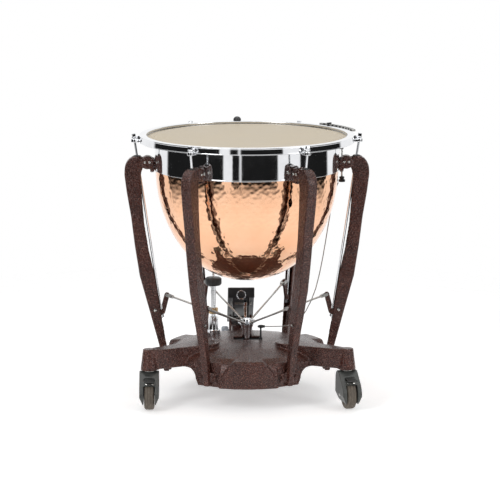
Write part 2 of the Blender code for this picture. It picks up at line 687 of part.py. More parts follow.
# ---- Pedal linkage ------------------------------------------------------------------------------
def lever():
    y, z = LEVER_END
    bar = outline_solid(hull_outline([(*LEVER_PIVOT, 0.0098), (y, z, 0.0098)], 16), LEVER_THICKNESS)
    pin = cylinder(0.004, (-0.0135, 0, z), (0.0135, 0, z), 12)
    whole = joined(side_on(bar), pin)
    pivot_y, pivot_z = LEVER_PIVOT
    bore = cylinder(AXLE_RADIUS + RUNNING, (-0.03, pivot_y, pivot_z), (0.03, pivot_y, pivot_z), 16)
    slot = side_on(outline_solid(hull_outline([(y - 0.003, z, 0.0045), (y + 0.003, z, 0.0045)], 16), 0.05))
    node("lever", cut(whole, bore, slot), STEEL, None, (0, pivot_y, pivot_z))
    pin = cylinder(AXLE_RADIUS, (-0.0185, pivot_y, pivot_z), (0.0185, pivot_y, pivot_z), 16)
    node("lever_pin", pin, STEEL)


def pedal_link():
    """The drawbar between the pedal's toe and the lever, with a fork round the lever."""
    a, b = TOE_PIN, LEVER_END
    bar = side_on(outline_solid(hull_outline([(*a, 0.0095), (*between(a, b, 0.62), 0.0075)]), 0.009))
    fork = side_on(outline_solid(hull_outline([(*b, 0.0075), (*between(b, a, 0.45), 0.0075)]), 0.0215))
    room = side_on(outline_solid(hull_outline([(*b, 0.0125), (*between(b, a, 0.12), 0.0125)]), 0.0125))
    pin = cylinder(0.0035, (-0.0107, *b), (0.0107, *b), 12)
    bore = cylinder(AXLE_RADIUS + RUNNING, (-0.03, *a), (0.03, *a), 16)
    whole = cut(joined(cut(joined(bar, fork), room), pin), bore)
    node("pedal_link", whole, CHROME, None, (0, *a))


def pedal():
    toe, heel = PEDAL_TOE, PEDAL_HEEL
    plate_thickness = 0.009
    half = PEDAL_HALF_WIDTH
    outline = hull_outline([(*toe, plate_thickness / 2), (*heel, plate_thickness / 2)], 8)
    plate = side_on(outline_solid(outline, half * 2), PEDAL_X)
    toe_plate = box((PEDAL_X - half, toe[0] - 0.0042, toe[1] - 0.030),
                    (PEDAL_X + half, toe[0] + 0.0018, toe[1]))
    cheeks = []
    for side in (-1, 1):
        circles = [(*TOE_PIN, 0.010), (*PEDAL_PIVOT, 0.011), (*between(toe, heel, 0.05), 0.002),
                   (*between(toe, heel, 0.82), 0.002)]
        cheeks.append(side_on(outline_solid(hull_outline(circles), 0.007), PEDAL_X + side * 0.0250))
    bores = [cylinder(0.006 + RUNNING, (-0.1, *PEDAL_PIVOT), (0.1, *PEDAL_PIVOT), 20),
             cylinder(AXLE_RADIUS + GAP, (-0.1, *TOE_PIN), (0.1, *TOE_PIN), 16)]
    whole = cut(joined(plate, toe_plate, *cheeks), *bores)
    node("pedal", whole, PLASTIC, None, (PEDAL_X, *PEDAL_PIVOT))
    axle = cylinder(0.006, (PEDAL_X - 0.041, *PEDAL_PIVOT), (PEDAL_X + 0.041, *PEDAL_PIVOT), 20)
    node("pedal_axle", axle, STEEL)
    pin = cylinder(AXLE_RADIUS, (PEDAL_X - 0.0305, *TOE_PIN), (PEDAL_X + 0.0305, *TOE_PIN), 16)
    node("toe_pin", pin, STEEL)


# ---- Casters ------------------------------------------------------------------------------------
def casters():
    trail, radius = CASTER_TRAIL, WHEEL_RADIUS
    cheek = hull_outline([(trail, radius, radius + 0.004), (0, HOOD_TOP - 0.026, 0.026)], 24)
    hood = side_on(outline_solid(cheek, HOOD_WIDTH))
    brake_y, brake_z = BRAKE_PIVOT
    brake_slot = box((-BRAKE_WIDTH / 2 - 0.001, brake_y - 0.004, brake_z - 0.0065),
                     (BRAKE_WIDTH / 2 + 0.001, 0.12, brake_z + 0.007))
    below = box((-0.1, -0.2, -0.1), (0.1, 0.2, 0.022))
    window = box((-WHEEL_WIDTH / 2 - 0.0018, trail + 0.010, 0.020),
                 (WHEEL_WIDTH / 2 + 0.0018, trail + radius + 0.02, radius + 0.035))
    chamfers = []
    for side in (-1, 1):
        corner = Matrix.Translation((side * HOOD_WIDTH / 2, 0, 0.048)) @ Matrix.Rotation(side * 0.40, 4, "Y")
        low_x, high_x = sorted((0.0, side * 0.05))
        chamfers.append(placed(box((low_x, -0.2, -0.1), (high_x, 0.2, 0.0)), corner))
    room = cylinder(radius + 0.003, (-WHEEL_WIDTH / 2 - 0.0018, trail, radius),
                    (WHEEL_WIDTH / 2 + 0.0018, trail, radius), 24)
    mouth = box((-WHEEL_WIDTH / 2 - 0.0018, trail - radius - 0.02, 0.0),
                (WHEEL_WIDTH / 2 + 0.0018, trail + radius + 0.02, radius * 0.86))
    bore = cylinder(AXLE_RADIUS + GAP, (-0.1, trail, radius), (0.1, trail, radius), 16)
    shell = cut(hood, below, room, mouth, window, bore, *chamfers)
    flat = 0.006
    profile = [(AXLE_RADIUS + RUNNING, WHEEL_WIDTH / 2 - 0.003), (0.012, WHEEL_WIDTH / 2),
               (radius - flat, WHEEL_WIDTH / 2), (radius, WHEEL_WIDTH / 2 - flat)]
    profile += [(r, -h) for r, h in reversed(profile)]
    wheel = placed(turned(profile, 24), Matrix.Rotation(math.radians(90), 4, "Y"))
    axle_half = HOOD_WIDTH / 2 - 0.0005
    axle = cylinder(AXLE_RADIUS, (-axle_half, trail, radius), (axle_half, trail, radius), 16)
    brake = box((-BRAKE_WIDTH / 2, brake_y - 0.0035, brake_z - 0.002),
                (BRAKE_WIDTH / 2, trail + radius + 0.008, brake_z + 0.002))
    wheel = placed(wheel, Matrix.Translation((0, trail, radius)))
    for name, (x, y) in caster_places().items():
        swivel = Matrix.Translation((x, y, 0)) @ Matrix.Rotation(math.radians(CASTER_REST[name]), 4, "Z")
        stem = cylinder(0.008, (0, 0, HOOD_TOP - 0.003), (0, 0, STEM_TOP[name]), 16)
        pieces = [("hood", joined(tool(shell.data.copy()), stem), PLASTIC, (0, 0, HOOD_TOP)),
                  ("wheel", wheel, TREAD, (0, trail, radius)),
                  ("axle", axle, STEEL, (0, trail, radius))]
        if name != "rear":
            pieces[0] = ("hood", cut(pieces[0][1], tool(brake_slot.data.copy())), PLASTIC, (0, 0, HOOD_TOP))
            pieces.append(("brake", brake, PLASTIC, (0, brake_y, brake_z)))
        for piece, shape, mat, origin in pieces:
            turned_shape = placed(tool(shape.data.copy()), swivel)
            node(f"caster_{piece}_{name}", turned_shape, mat, None, swivel @ Vector(origin))


# ---- Spring unit, knobs and gauge -----------------------------------------------------------------
SPRING_PLACE = (-0.107, 0.100)
FRICTION_KNOB = (0.300, 0.1375)


def spring_unit():
    """The counterbalance: a chrome tube on the deck, its inner rod and the knob on top."""
    place = Matrix.Translation((*SPRING_PLACE, 0))
    tube_profile = [(0.0160, 0.232), (0.0160, 0.135), (0.0095, 0.135), (0.0095, 0.232)]
    collar_profile = [(0.0225, 0.191), (0.0225, 0.1745), (0.0150, 0.1745), (0.0150, 0.191)]
    body = joined(turned(tube_profile, 20), turned(collar_profile, 20))
    node("spring_tube", placed(body, place), CHROME)
    rod = joined(cylinder(0.0080, (0, 0, 0.160), (0, 0, 0.3355)),
                 cylinder(0.0150, (0, 0, 0.243), (0, 0, 0.262), 16),
                 cylinder(0.0040, (0, 0, 0.330), (0, 0, 0.380), 10))
    node("spring_rod", placed(rod, place), CHROME)
    knob = turned([(0.0270, 0.360), (0.0270, 0.340), (0.0240, 0.337), (0.0048, 0.337),
                   (0.0048, 0.363), (0.0240, 0.363)], 24)
    node("spring_knob", placed(knob, place), PLASTIC, None, (*SPRING_PLACE, 0.35))


def friction_knob():
    y, z = FRICTION_KNOB
    face = PEDAL_X - 0.032
    shaft = cylinder(0.0045, (face - 0.020, y, z), (face + 0.011, y, z), 12)
    hub = cylinder(0.0095, (face - 0.010, y, z), (face - 0.001, y, z), 16)
    knob = cylinder(0.0205, (face - 0.034, y, z), (face - 0.0095, y, z), 24)
    node("friction_knob", joined(shaft, hub, knob), GREY, None, (face, y, z))


def gauge():
    inner, outer = GAUGE_INNER, GAUGE_INNER + GAUGE_WIDTH
    low, high = HOOP_TOP - 0.005, HOOP_TOP + 0.003
    ring = turned([(outer, high), (outer, low), (inner, low), (inner, high)], 96)
    start, end = GAUGE_AZIMUTHS
    wedge = []
    steps = 4
    for k in range(steps + 1):
        a = math.radians(start + (end - start) * k / steps - 90)
        wedge.append((0.5 * math.cos(a), 0.5 * math.sin(a)))
    sector = placed(outline_solid([(0, 0), *wedge], 0.1), Matrix.Translation((0, 0, HOOP_TOP)))
    scale = boolean(ring, "INTERSECT", [sector])
    tabs = []
    for azimuth in (start + 3, end - 3):
        tab = box((HOOP_OUTER + GAP, -0.006, low), (inner + 0.002, 0.006, low + 0.004))
        tabs.append(placed(tab, Matrix.Rotation(math.radians(azimuth - 90), 4, "Z")))
    node("gauge_scale", joined(scale, *tabs), STEEL)

    pointer_azimuth = end - 6
    pointer = box((inner - 0.001, -0.0025, high + GAP), (outer + 0.004, 0.0025, high + 0.0035))
    stem = box((outer + 0.001, -0.0025, low - 0.004), (outer + 0.004, 0.0025, high + 0.0030))
    node("gauge_pointer", joined(pointer, stem), PLASTIC, pointer_azimuth)

    azimuth = 98
    radius = BAND_OUTER + 0.0135
    foot = BAND_BOTTOM - 0.050
    clear = BAND_OUTER + GAP
    rod = joined(cylinder(0.003, (radius, 0, foot + 0.018), (radius, 0, foot + 0.122), 10),
                 box((clear, -0.006, foot + 0.106), (radius + 0.004, 0.006, foot + 0.113)))
    rod = cut(rod, cylinder(clear, (0, 0, foot), (0, 0, foot + 0.13), ROUND * 2))
    node("gauge_rod", rod, STEEL, azimuth)
    knob = joined(cylinder(0.0110, (radius, 0, foot), (radius, 0, foot + 0.008), 16),
                  cylinder(0.0085, (radius, 0, foot + 0.006), (radius, 0, foot + 0.0177), 16))
    node("gauge_knob", knob, PLASTIC, azimuth, (radius, 0, foot + 0.006))


def gauge_cable():
    stop_x, stop_y, stop_z = 0.044, -0.020, 0.224
    high, low = (BOWL_RADIUS - 0.012, 0.046, BAND_BOTTOM - 0.094), (0.222, 0.015, 0.340)
    route = [(BOWL_RADIUS + 0.0025, 0.048, BAND_BOTTOM - 0.053), high]
    for shares in ((0.69, 0.81, 2 / 3), (0.40, 0.48, 1 / 3)):
        route.append(tuple(b + (a - b) * share for a, b, share in zip(high, low, shares)))
    route += [low, (0.190, 0.000, 0.270), (0.160, -0.012, 0.237),
              (0.130, -0.018, 0.226), (0.095, stop_y, stop_z), (stop_x + 0.014, stop_y, stop_z)]
    node("gauge_cable", tube(smooth_run(route, 2), 0.0016), STEEL)
    block = joined(cylinder(0.0052, (stop_x - 0.010, stop_y, stop_z), (stop_x + 0.0137, stop_y, stop_z), 12),
                   box((stop_x - 0.004, stop_y - 0.003, DECK_TOP + 0.0008),
                       (stop_x + 0.004, stop_y + 0.003, stop_z)))
    node("cable_stop", block, PLASTIC)


def tuner_lug():
    """The lug at the back of the counterhoop that carries the fine tuner."""
    base = HOOP_TOP - 0.002
    lug = box((HOOP_OUTER - 0.003, -0.008, base - 0.012), (TUNER_RADIUS + 0.007, 0.008, base - GAP))
    lug = cut(lug, cylinder(0.0035, (TUNER_RADIUS, 0, base - 0.03), (TUNER_RADIUS, 0, base + 0.01), 10))
    return placed(lug, Matrix.Rotation(math.radians(TUNER_AZIMUTH - 90), 4, "Z"))


def fine_tuner_knob():
    radius, azimuth = TUNER_RADIUS, TUNER_AZIMUTH
    base = HOOP_TOP - 0.002
    dome_shape = [(0.0130, base + 0.0035), (0.0130, base), (0, base), (0, base + 0.0140),
                  (0.0070, base + 0.0128), (0.0112, base + 0.0090)]
    cap = turned(dome_shape, 20, (radius, 0, 0))
    screw = cylinder(0.0030, (radius, 0, base - 0.020), (radius, 0, base + 0.010), 10)
    node("fine_tuner_knob", joined(cap, screw), PLASTIC, azimuth, (radius, 0, base))


# ---- Build --------------------------------------------------------------------------------------
def build():
    bowl()
    support_band()
    drumhead()
    flesh_hoop()
    counterhoop()
    tension_rods()
    strut()
    bell_cranks()
    spider_rods()
    spider_hub()
    column_guide()
    base_casting()
    lever()
    pedal_link()
    pedal()
    casters()
    spring_unit()
    friction_knob()
    gauge()
    gauge_cable()
    fine_tuner_knob()


build()
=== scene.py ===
"""Looks of the pedal timpani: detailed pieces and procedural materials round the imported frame.

Metres, +Z up. Most pieces are laid out in the drum's own radial frames: local X points out from
the drum axis, local Y runs along the tangent and local Z is up.
"""

import json
import math

import bmesh
import bpy
from mathutils import Matrix, Vector, kdtree


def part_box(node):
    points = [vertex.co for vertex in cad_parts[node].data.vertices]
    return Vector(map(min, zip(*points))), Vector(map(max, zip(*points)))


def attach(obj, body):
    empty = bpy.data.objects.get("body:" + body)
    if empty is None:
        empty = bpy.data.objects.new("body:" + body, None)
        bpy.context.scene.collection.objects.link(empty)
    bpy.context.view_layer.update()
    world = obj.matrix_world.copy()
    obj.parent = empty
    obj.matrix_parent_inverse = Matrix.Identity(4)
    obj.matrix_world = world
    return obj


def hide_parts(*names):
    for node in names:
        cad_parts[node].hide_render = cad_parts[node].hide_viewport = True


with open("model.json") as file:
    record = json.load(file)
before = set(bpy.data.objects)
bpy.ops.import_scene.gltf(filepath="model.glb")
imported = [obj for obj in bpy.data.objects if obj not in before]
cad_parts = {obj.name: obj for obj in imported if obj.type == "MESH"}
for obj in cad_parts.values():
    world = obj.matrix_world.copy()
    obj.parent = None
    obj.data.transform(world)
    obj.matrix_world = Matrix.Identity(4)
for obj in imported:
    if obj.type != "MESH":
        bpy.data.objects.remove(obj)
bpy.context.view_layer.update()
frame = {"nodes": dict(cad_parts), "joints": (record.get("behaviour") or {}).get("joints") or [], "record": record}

RECORD = frame["record"]
PIVOT = {j["name"]: Vector(j["pos_m"]) for j in frame["joints"] if j.get("pos_m")}
JOINT_AXIS = {j["name"]: j.get("axis") for j in frame["joints"]}
HEAD_CENTRE = Vector(RECORD["mounts"][0]["pos_m"])
AXIS = Vector((HEAD_CENTRE.x, HEAD_CENTRE.y, 0.0))
HEAD_TOP = HEAD_CENTRE.z
STRUTS = range(1, 7)
CASTERS = ("front_left", "front_right", "rear")
STILL = Matrix.Identity(4)
ON_AXIS = Matrix.Translation(AXIS)
UPRIGHT = Matrix.Rotation(math.pi / 2, 4, "X")      # stands a flat outline on its edge


# ---- Frames and numbers ----------------------------------------------
def low(node):
    return Vector(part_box(node)[0])


def high(node):
    return Vector(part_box(node)[1])


def half_width(node):
    """Half the width of a round node along X: its outer radius."""
    return (high(node).x - low(node).x) / 2


def azimuth_of(point):
    """Angle about the drum axis, 0 towards -Y and growing towards +X, in radians."""
    return math.atan2(point.x - AXIS.x, AXIS.y - point.y)


def radial_frame(azimuth):
    return ON_AXIS @ Matrix.Rotation(azimuth - math.pi / 2, 4, "Z")


def aim(start, direction):
    """A frame at start whose local Z points along direction."""
    turn = Vector(direction).normalized().to_track_quat("Z", "Y").to_matrix().to_4x4()
    return Matrix.Translation(Vector(start)) @ turn


STRUT_FRAMES = {i: radial_frame(azimuth_of(PIVOT[f"tension_rod_{i}_turn"])) for i in STRUTS}


def rounded(points, radius, steps=3):
    """The closed outline with each corner turned into a short arc."""
    result = []
    count = len(points)
    for k, point in enumerate(points):
        here = Vector(point[:2])
        before = Vector(points[k - 1][:2]) - here
        after = Vector(points[(k + 1) % count][:2]) - here
        reach = min(radius, before.length * 0.45, after.length * 0.45)
        start = here + before.normalized() * reach
        end = here + after.normalized() * reach
        for s in range(steps + 1):
            t = s / steps
            result.append(tuple(start * (1 - t) ** 2 + here * 2 * t * (1 - t) + end * t ** 2))
    return result


# ---- Mesh building ---------------------------------------------------
def side_scale(angle, sides):
    """How far a polygon of that many sides reaches at an angle, as a share of its inscribed radius."""
    if not sides:
        return 1.0
    step = 2 * math.pi / sides
    off = (angle + step / 2) % step - step / 2
    return min(1.0 / math.cos(off), 1.0 / math.cos(step / 2) * 0.97)


class Build:
    """Collects closed shapes in one bmesh."""

    def __init__(self):
        self.bm = bmesh.new()

    def add(self, other, place=STILL):
        """Add a mesh's geometry in place."""
        start = len(self.bm.verts)
        self.bm.from_mesh(other)
        self.bm.verts.ensure_lookup_table()
        bmesh.ops.transform(self.bm, matrix=place, verts=self.bm.verts[start:])
        return self

    def box(self, low_corner, high_corner, place=STILL, bevel=0.0):
        low_corner, high_corner = Vector(low_corner), Vector(high_corner)
        size = high_corner - low_corner
        middle = Matrix.Translation((low_corner + high_corner) / 2)
        matrix = place @ middle @ Matrix.Diagonal((*size, 1.0))
        made = bmesh.ops.create_cube(self.bm, size=1.0, matrix=matrix)
        if bevel:
            edges = list(dict.fromkeys(e for v in made["verts"] for e in v.link_edges))
            bmesh.ops.bevel(self.bm, geom=edges, offset=bevel, segments=2, profile=0.5, affect="EDGES")
        return self

    def ball(self, centre, radii, place=STILL, segments=24):
        matrix = place @ Matrix.Translation(Vector(centre)) @ Matrix.Diagonal((*radii, 1.0))
        bmesh.ops.create_uvsphere(self.bm, u_segments=segments, v_segments=segments // 2, radius=1.0,
                                  matrix=matrix)
        return self

    def turned(self, profile, place=STILL, segments=24, ring=False):
        """Turn (radius, height[, polygon sides]) points about local Z; ring closes the profile."""
        rings = []
        for point in profile:
            radius, height = point[0], point[1]
            sides = point[2] if len(point) > 2 else 0
            if radius < 1e-7:
                rings.append([self.bm.verts.new(place @ Vector((0, 0, height)))])
                continue
            verts = []
            for k in range(segments):
                angle = 2 * math.pi * k / segments
                reach = radius * side_scale(angle, sides)
                verts.append(self.bm.verts.new(
                    place @ Vector((reach * math.cos(angle), reach * math.sin(angle), height))))
            rings.append(verts)
        pairs = list(zip(rings, rings[1:]))
        if ring:
            pairs.append((rings[-1], rings[0]))
        for a, b in pairs:
            for k in range(segments):
                n = (k + 1) % segments
                corners = [a[k % len(a)], a[n % len(a)], b[n % len(b)], b[k % len(b)]]
                corners = list(dict.fromkeys(corners))
                if len(corners) > 2:
                    self.bm.faces.new(corners)
        return self

    def prism(self, outline, low_z, high_z, place=STILL, bevel=0.0):
        """A flat outline of (x, y) points, raised from low_z to high_z."""
        bottom = [self.bm.verts.new(place @ Vector((x, y, low_z))) for x, y in outline]
        top = [self.bm.verts.new(place @ Vector((x, y, high_z))) for x, y in outline]
        count = len(outline)
        faces = [self.bm.faces.new(bottom[::-1]), self.bm.faces.new(top)]
        for k in range(count):
            n = (k + 1) % count
            faces.append(self.bm.faces.new([bottom[k], bottom[n], top[n], top[k]]))
        if bevel:
            edges = list(dict.fromkeys(e for f in faces[:2] for e in f.edges))
            bmesh.ops.bevel(self.bm, geom=edges, offset=bevel, segments=2, profile=0.5, affect="EDGES")
        return self

    def mesh(self):
        bmesh.ops.recalc_face_normals(self.bm, faces=self.bm.faces)
        mesh = bpy.data.meshes.new("work")
        self.bm.to_mesh(mesh)
        self.bm.free()
        return mesh


def lathe(profile, place=STILL, segments=24, ring=False):
    """A mesh that is one turned shape."""
    return Build().turned(profile, place, segments, ring).mesh()


def hull(circles, steps=12):
    """Convex outline round some circles of (x, y, radius), anticlockwise."""
    points = []
    for x, y, radius in circles:
        for k in range(steps * 2):
            angle = math.pi * k / steps
            points.append((x + radius * math.cos(angle), y + radius * math.sin(angle)))
    points = sorted(set((round(x, 7), round(y, 7)) for x, y in points))

    def chain(run):
        kept = []
        for p in run:
            while len(kept) > 1:
                (ax, ay), (bx, by) = kept[-2], kept[-1]
                if (bx - ax) * (p[1] - ay) - (by - ay) * (p[0] - ax) > 1e-12:
                    break
                kept.pop()
            kept.append(p)
        return kept[:-1]

    return chain(points) + chain(points[::-1])


def evaluated(mesh, modifiers):
    """The mesh with some modifiers applied, each given as (type, settings)."""
    obj = bpy.data.objects.new("work", mesh)
    bpy.context.scene.collection.objects.link(obj)
    for kind, settings in modifiers:
        modifier = obj.modifiers.new(kind.lower(), kind)
        for key, value in settings.items():
            setattr(modifier, key, value)
    depsgraph = bpy.context.evaluated_depsgraph_get()
    result = bpy.data.meshes.new_from_object(obj.evaluated_get(depsgraph))
    bpy.data.objects.remove(obj)
    return result


def cast(mesh, voxel, rounds, keep):
    """Closed shapes melted into one casting with soft edges, then thinned to a share of its faces."""
    return evaluated(mesh, [
        ("REMESH", {"mode": "VOXEL", "voxel_size": voxel, "adaptivity": 0.0}),
        ("SMOOTH", {"factor": 0.5, "iterations": rounds}),
        ("DECIMATE", {"ratio": keep}),
    ])


def piece(name, mesh, mat, body, replaces=(), sharp=35, place=None):
    """A finished piece: its mesh in world places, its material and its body."""
    mesh = mesh.copy()
    mesh.name = name
    if place is not None:
        mesh.transform(place)
    mesh.materials.clear()
    mesh.materials.append(mat)
    mesh.shade_smooth()
    mesh.set_sharp_from_angle(angle=math.radians(sharp))
    obj = bpy.data.objects.new(name, mesh)
    bpy.context.scene.collection.objects.link(obj)
    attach(obj, body)
    if replaces:
        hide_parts(*replaces)
    return obj


def cad_mesh(node, place=STILL):
    """A copy of a CAD node's mesh, moved by place. The node itself stays as it is."""
    mesh = frame["nodes"][node].data.copy()
    mesh.transform(place)
    return mesh


def screw(radius, height, recess=6):
    """A domed screw head standing on local Z = 0, with a driver recess."""
    r, h = radius, height
    profile = [(0, -h * 0.5), (r * 0.6, -h * 0.5), (r * 0.6, 0), (r, 0), (r, h * 0.35), (r * 0.93, h * 0.7),
               (r * 0.72, h * 0.94), (r * 0.55, h), (r * 0.42, h, recess), (r * 0.4, h * 0.45, recess),
               (0, h * 0.4)]
    return lathe(profile, segments=24)


def hex_bolt(radius, height):
    """A hexagon bolt head on a washer, standing on local Z = 0."""
    r, h = radius, height
    profile = [(0, -h * 0.4), (r * 0.7, -h * 0.4), (r * 0.7, 0), (r * 1.35, 0), (r * 1.38, h * 0.08),
               (r * 1.35, h * 0.16), (r * 1.0, h * 0.17), (r, h * 0.18, 6), (r, h * 0.86, 6),
               (r * 0.9, h * 0.97), (r * 0.82, h), (0, h)]
    return lathe(profile, segments=24)


def threaded(radius, start, end, pitch, depth):
    """A profile of thread ridges from height start to end, for the outside of a rod."""
    points = []
    count = max(int((end - start) / pitch), 1)
    for k in range(count):
        z = start + (end - start) * k / count
        points += [(radius - depth, z), (radius, z + pitch * 0.35), (radius, z + pitch * 0.6)]
    points.append((radius - depth, end))
    return points


# ---- Materials -------------------------------------------------------
class Nodes:
    """Short names for adding and joining the nodes of one tree."""

    def __init__(self, tree):
        self.tree = tree

    def new(self, kind, **settings):
        node = self.tree.nodes.new(kind)
        for key, value in settings.items():
            setattr(node, key, value)
        return node

    def link(self, a, b):
        self.tree.links.new(a, b)

    def ramp(self, value, stops):
        """Colours, or plain levels of grey, at places between 0 and 1."""
        node = self.new("ShaderNodeValToRGB")
        elements = node.color_ramp.elements
        while len(elements) < len(stops):
            elements.new(0.5)
        for element, (place, color) in zip(elements, stops):
            element.position = place
            element.color = (*color, 1.0) if isinstance(color, tuple) else (color, color, color, 1.0)
        self.link(value, node.inputs["Fac"])
        return node.outputs["Color"]

    def math(self, operation, a, b=None):
        node = self.new("ShaderNodeMath", operation=operation)
        for socket, value in zip(node.inputs, (a, b)):
            if isinstance(value, bpy.types.NodeSocket):
                self.link(value, socket)
            elif value is not None:
                socket.default_value = value
        return node.outputs[0]

    def mix_shaders(self, share, a, b):
        node = self.new("ShaderNodeMixShader")
        for socket, source in zip(node.inputs, (share, a, b)):
            self.link(source, socket)
        return node.outputs[0]


class Shader(Nodes):
    """A Principled material and the texture nodes that colour it."""

    def __init__(self, name, roughness=0.4, metallic=0.0):
        self.mat = bpy.data.materials.new(name)
        self.mat.use_nodes = True
        super().__init__(self.mat.node_tree)
        self.bsdf = self.tree.nodes["Principled BSDF"]
        self.bsdf.inputs["Roughness"].default_value = roughness
        self.bsdf.inputs["Metallic"].default_value = metallic
        self.place = self.new("ShaderNodeTexCoord").outputs["Object"]

    def stretched(self, scale):
        node = self.new("ShaderNodeMapping")
        node.inputs["Scale"].default_value = scale
        self.link(self.place, node.inputs["Vector"])
        return node.outputs["Vector"]

    def noise(self, scale, detail=4.0, roughness=0.55, vector=None):
        node = self.new("ShaderNodeTexNoise")
        node.inputs["Scale"].default_value = scale
        node.inputs["Detail"].default_value = detail
        node.inputs["Roughness"].default_value = roughness
        self.link(vector or self.place, node.inputs["Vector"])
        return node.outputs["Fac"]

    def cells(self, scale, feature="F1", vector=None):
        node = self.new("ShaderNodeTexVoronoi", feature=feature)
        node.inputs["Scale"].default_value = scale
        self.link(vector or self.place, node.inputs["Vector"])
        return node

    def map(self, value, low_in, high_in, low_out, high_out):
        node = self.new("ShaderNodeMapRange")
        for key, number in zip(("From Min", "From Max", "To Min", "To Max"),
                               (low_in, high_in, low_out, high_out)):
            node.inputs[key].default_value = number
        self.link(value, node.inputs["Value"])
        return node.outputs["Result"]

    def mix(self, share, a, b, mode="MIX"):
        node = self.new("ShaderNodeMix", data_type="RGBA", blend_type=mode)
        for socket, value in ((node.inputs[0], share), (node.inputs[6], a), (node.inputs[7], b)):
            if isinstance(value, bpy.types.NodeSocket):
                self.link(value, socket)
            elif isinstance(value, tuple):
                socket.default_value = (*value, 1.0)
            else:
                socket.default_value = value
        return node.outputs[2]

    def color(self, value):
        self.link(value, self.bsdf.inputs["Base Color"])

    def rough(self, value):
        self.link(value, self.bsdf.inputs["Roughness"])

    def bump(self, value, distance, strength=1.0, under=None):
        node = self.new("ShaderNodeBump")
        node.inputs["Distance"].default_value = distance
        node.inputs["Strength"].default_value = strength
        self.link(value, node.inputs["Height"])
        if under is not None:
            self.link(under, node.inputs["Normal"])
        self.link(node.outputs["Normal"], self.bsdf.inputs["Normal"])
        return node.outputs["Normal"]


def hammertone():
    """Dark red-brown enamel that dried into small glinting puddles, with paler worn edges, painted shade and
    highlight on the puddles and pale specks of painted glint.
    """
    s = Shader("hammertone_enamel", roughness=0.3, metallic=0.25)
    puddles = s.cells(230.0, "SMOOTH_F1")
    flake_and_glint_cells = s.cells(430.0)
    tone = s.noise(14.0, 6.0)
    base = s.ramp(tone, [(0.3, (0.024, 0.0052, 0.0032)), (0.55, (0.042, 0.0098, 0.006)),
                         (0.78, (0.066, 0.0175, 0.0108))])
    # Painted shade in the puddle hollows and painted highlight on their raised rims, following the bump.
    painted_puddle_shading = s.ramp(puddles.outputs["Distance"], [(0.08, (0.45, 0.34, 0.32)), (0.4, (1.0, 1.0, 1.0)),
                                                 (0.75, (1.8, 1.6, 1.55))])
    body = s.mix(0.8, base, painted_puddle_shading, "MULTIPLY")
    # Pale specks of colour at the flake cell corners: painted glints.
    spark = s.map(flake_and_glint_cells.outputs["Distance"], 0.62, 0.84, 0.0, 0.7)
    body = s.mix(spark, body, (0.26, 0.125, 0.095))
    edge = s.new("ShaderNodeNewGeometry").outputs["Pointiness"]
    worn = s.map(edge, 0.535, 0.64, 0.0, 0.5)
    s.color(s.mix(worn, body, (0.17, 0.08, 0.058)))
    s.rough(s.map(flake_and_glint_cells.outputs["Distance"], 0.2, 0.8, 0.16, 0.4))
    s.bsdf.inputs["Coat Weight"].default_value = 0.15
    s.bsdf.inputs["Coat Roughness"].default_value = 0.08
    s.bump(puddles.outputs["Distance"], 0.003, 0.9)
    return s.mat


def copper():
    """Polished copper with fine planishing marks and a faint warm cast."""
    s = Shader("hammered_copper", roughness=0.1, metallic=1.0)
    tone = s.noise(9.0, 5.0)
    s.color(s.ramp(tone, [(0.3, (0.86, 0.475, 0.285)), (0.55, (0.9, 0.53, 0.335)),
                          (0.75, (0.925, 0.585, 0.39))]))
    s.rough(s.map(s.noise(60.0, 3.0), 0.3, 0.7, 0.055, 0.12))
    marks = s.cells(95.0, "SMOOTH_F1")
    s.bump(marks.outputs["Distance"], 0.0012, 0.22)
    return s.mat


def chrome(tint=(0.8, 0.81, 0.83), roughness=0.035):
    """Plated chrome with a slight haze."""
    s = Shader("chrome_plate", roughness=roughness, metallic=1.0)
    haze = s.noise(30.0, 6.0)
    s.color(s.ramp(haze, [(0.25, tuple(v * 0.9 for v in tint)), (0.7, tint)]))
    s.rough(s.map(haze, 0.35, 0.75, roughness, roughness * 2.6))
    s.bump(s.noise(220.0, 2.0), 0.0002, 0.06)
    return s.mat


def steel(name, tint, roughness, grain=(1.0, 1.0, 24.0)):
    """Bare metal with turning lines along local Z."""
    s = Shader(name, roughness=roughness, metallic=1.0)
    lines = s.noise(260.0, 3.0, vector=s.stretched(grain))
    blotch = s.noise(45.0, 4.0)
    s.color(s.mix(s.map(blotch, 0.35, 0.7, 0.0, 0.5), tint, tuple(v * 0.62 for v in tint)))
    s.rough(s.map(lines, 0.3, 0.7, roughness * 0.75, roughness * 1.5))
    s.bump(lines, 0.0002, 0.15)
    return s.mat


def head_film():
    """Frosted polyester film: warm beige, finely mottled."""
    s = Shader("frosted_head_film", roughness=0.42)
    fibre = s.noise(620.0, 3.0)
    cloud = s.noise(6.5, 5.0, 0.6)
    base = s.ramp(cloud, [(0.28, (0.47, 0.392, 0.272)), (0.55, (0.515, 0.434, 0.306)),
                          (0.78, (0.56, 0.48, 0.348))])
    s.color(s.mix(0.12, base, s.ramp(fibre, [(0.3, (0.55, 0.47, 0.36)), (0.7, (0.8, 0.72, 0.6))])))
    s.rough(s.map(cloud, 0.3, 0.75, 0.36, 0.52))
    s.bsdf.inputs["Specular IOR Level"].default_value = 0.35
    s.bump(fibre, 0.0003, 0.18)
    return s.mat


def plastic(name, dark, pale, roughness=0.42, grain=700.0, depth=0.25):
    """Moulded plastic or rubber with a fine spark-eroded grain and dusty patches."""
    s = Shader(name, roughness=roughness)
    dust = s.noise(22.0, 6.0)
    skin = s.cells(grain)
    s.color(s.ramp(dust, [(0.32, dark), (0.72, pale)]))
    s.rough(s.map(dust, 0.3, 0.75, roughness * 0.8, roughness * 1.35))
    s.bump(skin.outputs["Distance"], 0.0003, depth)
    return s.mat


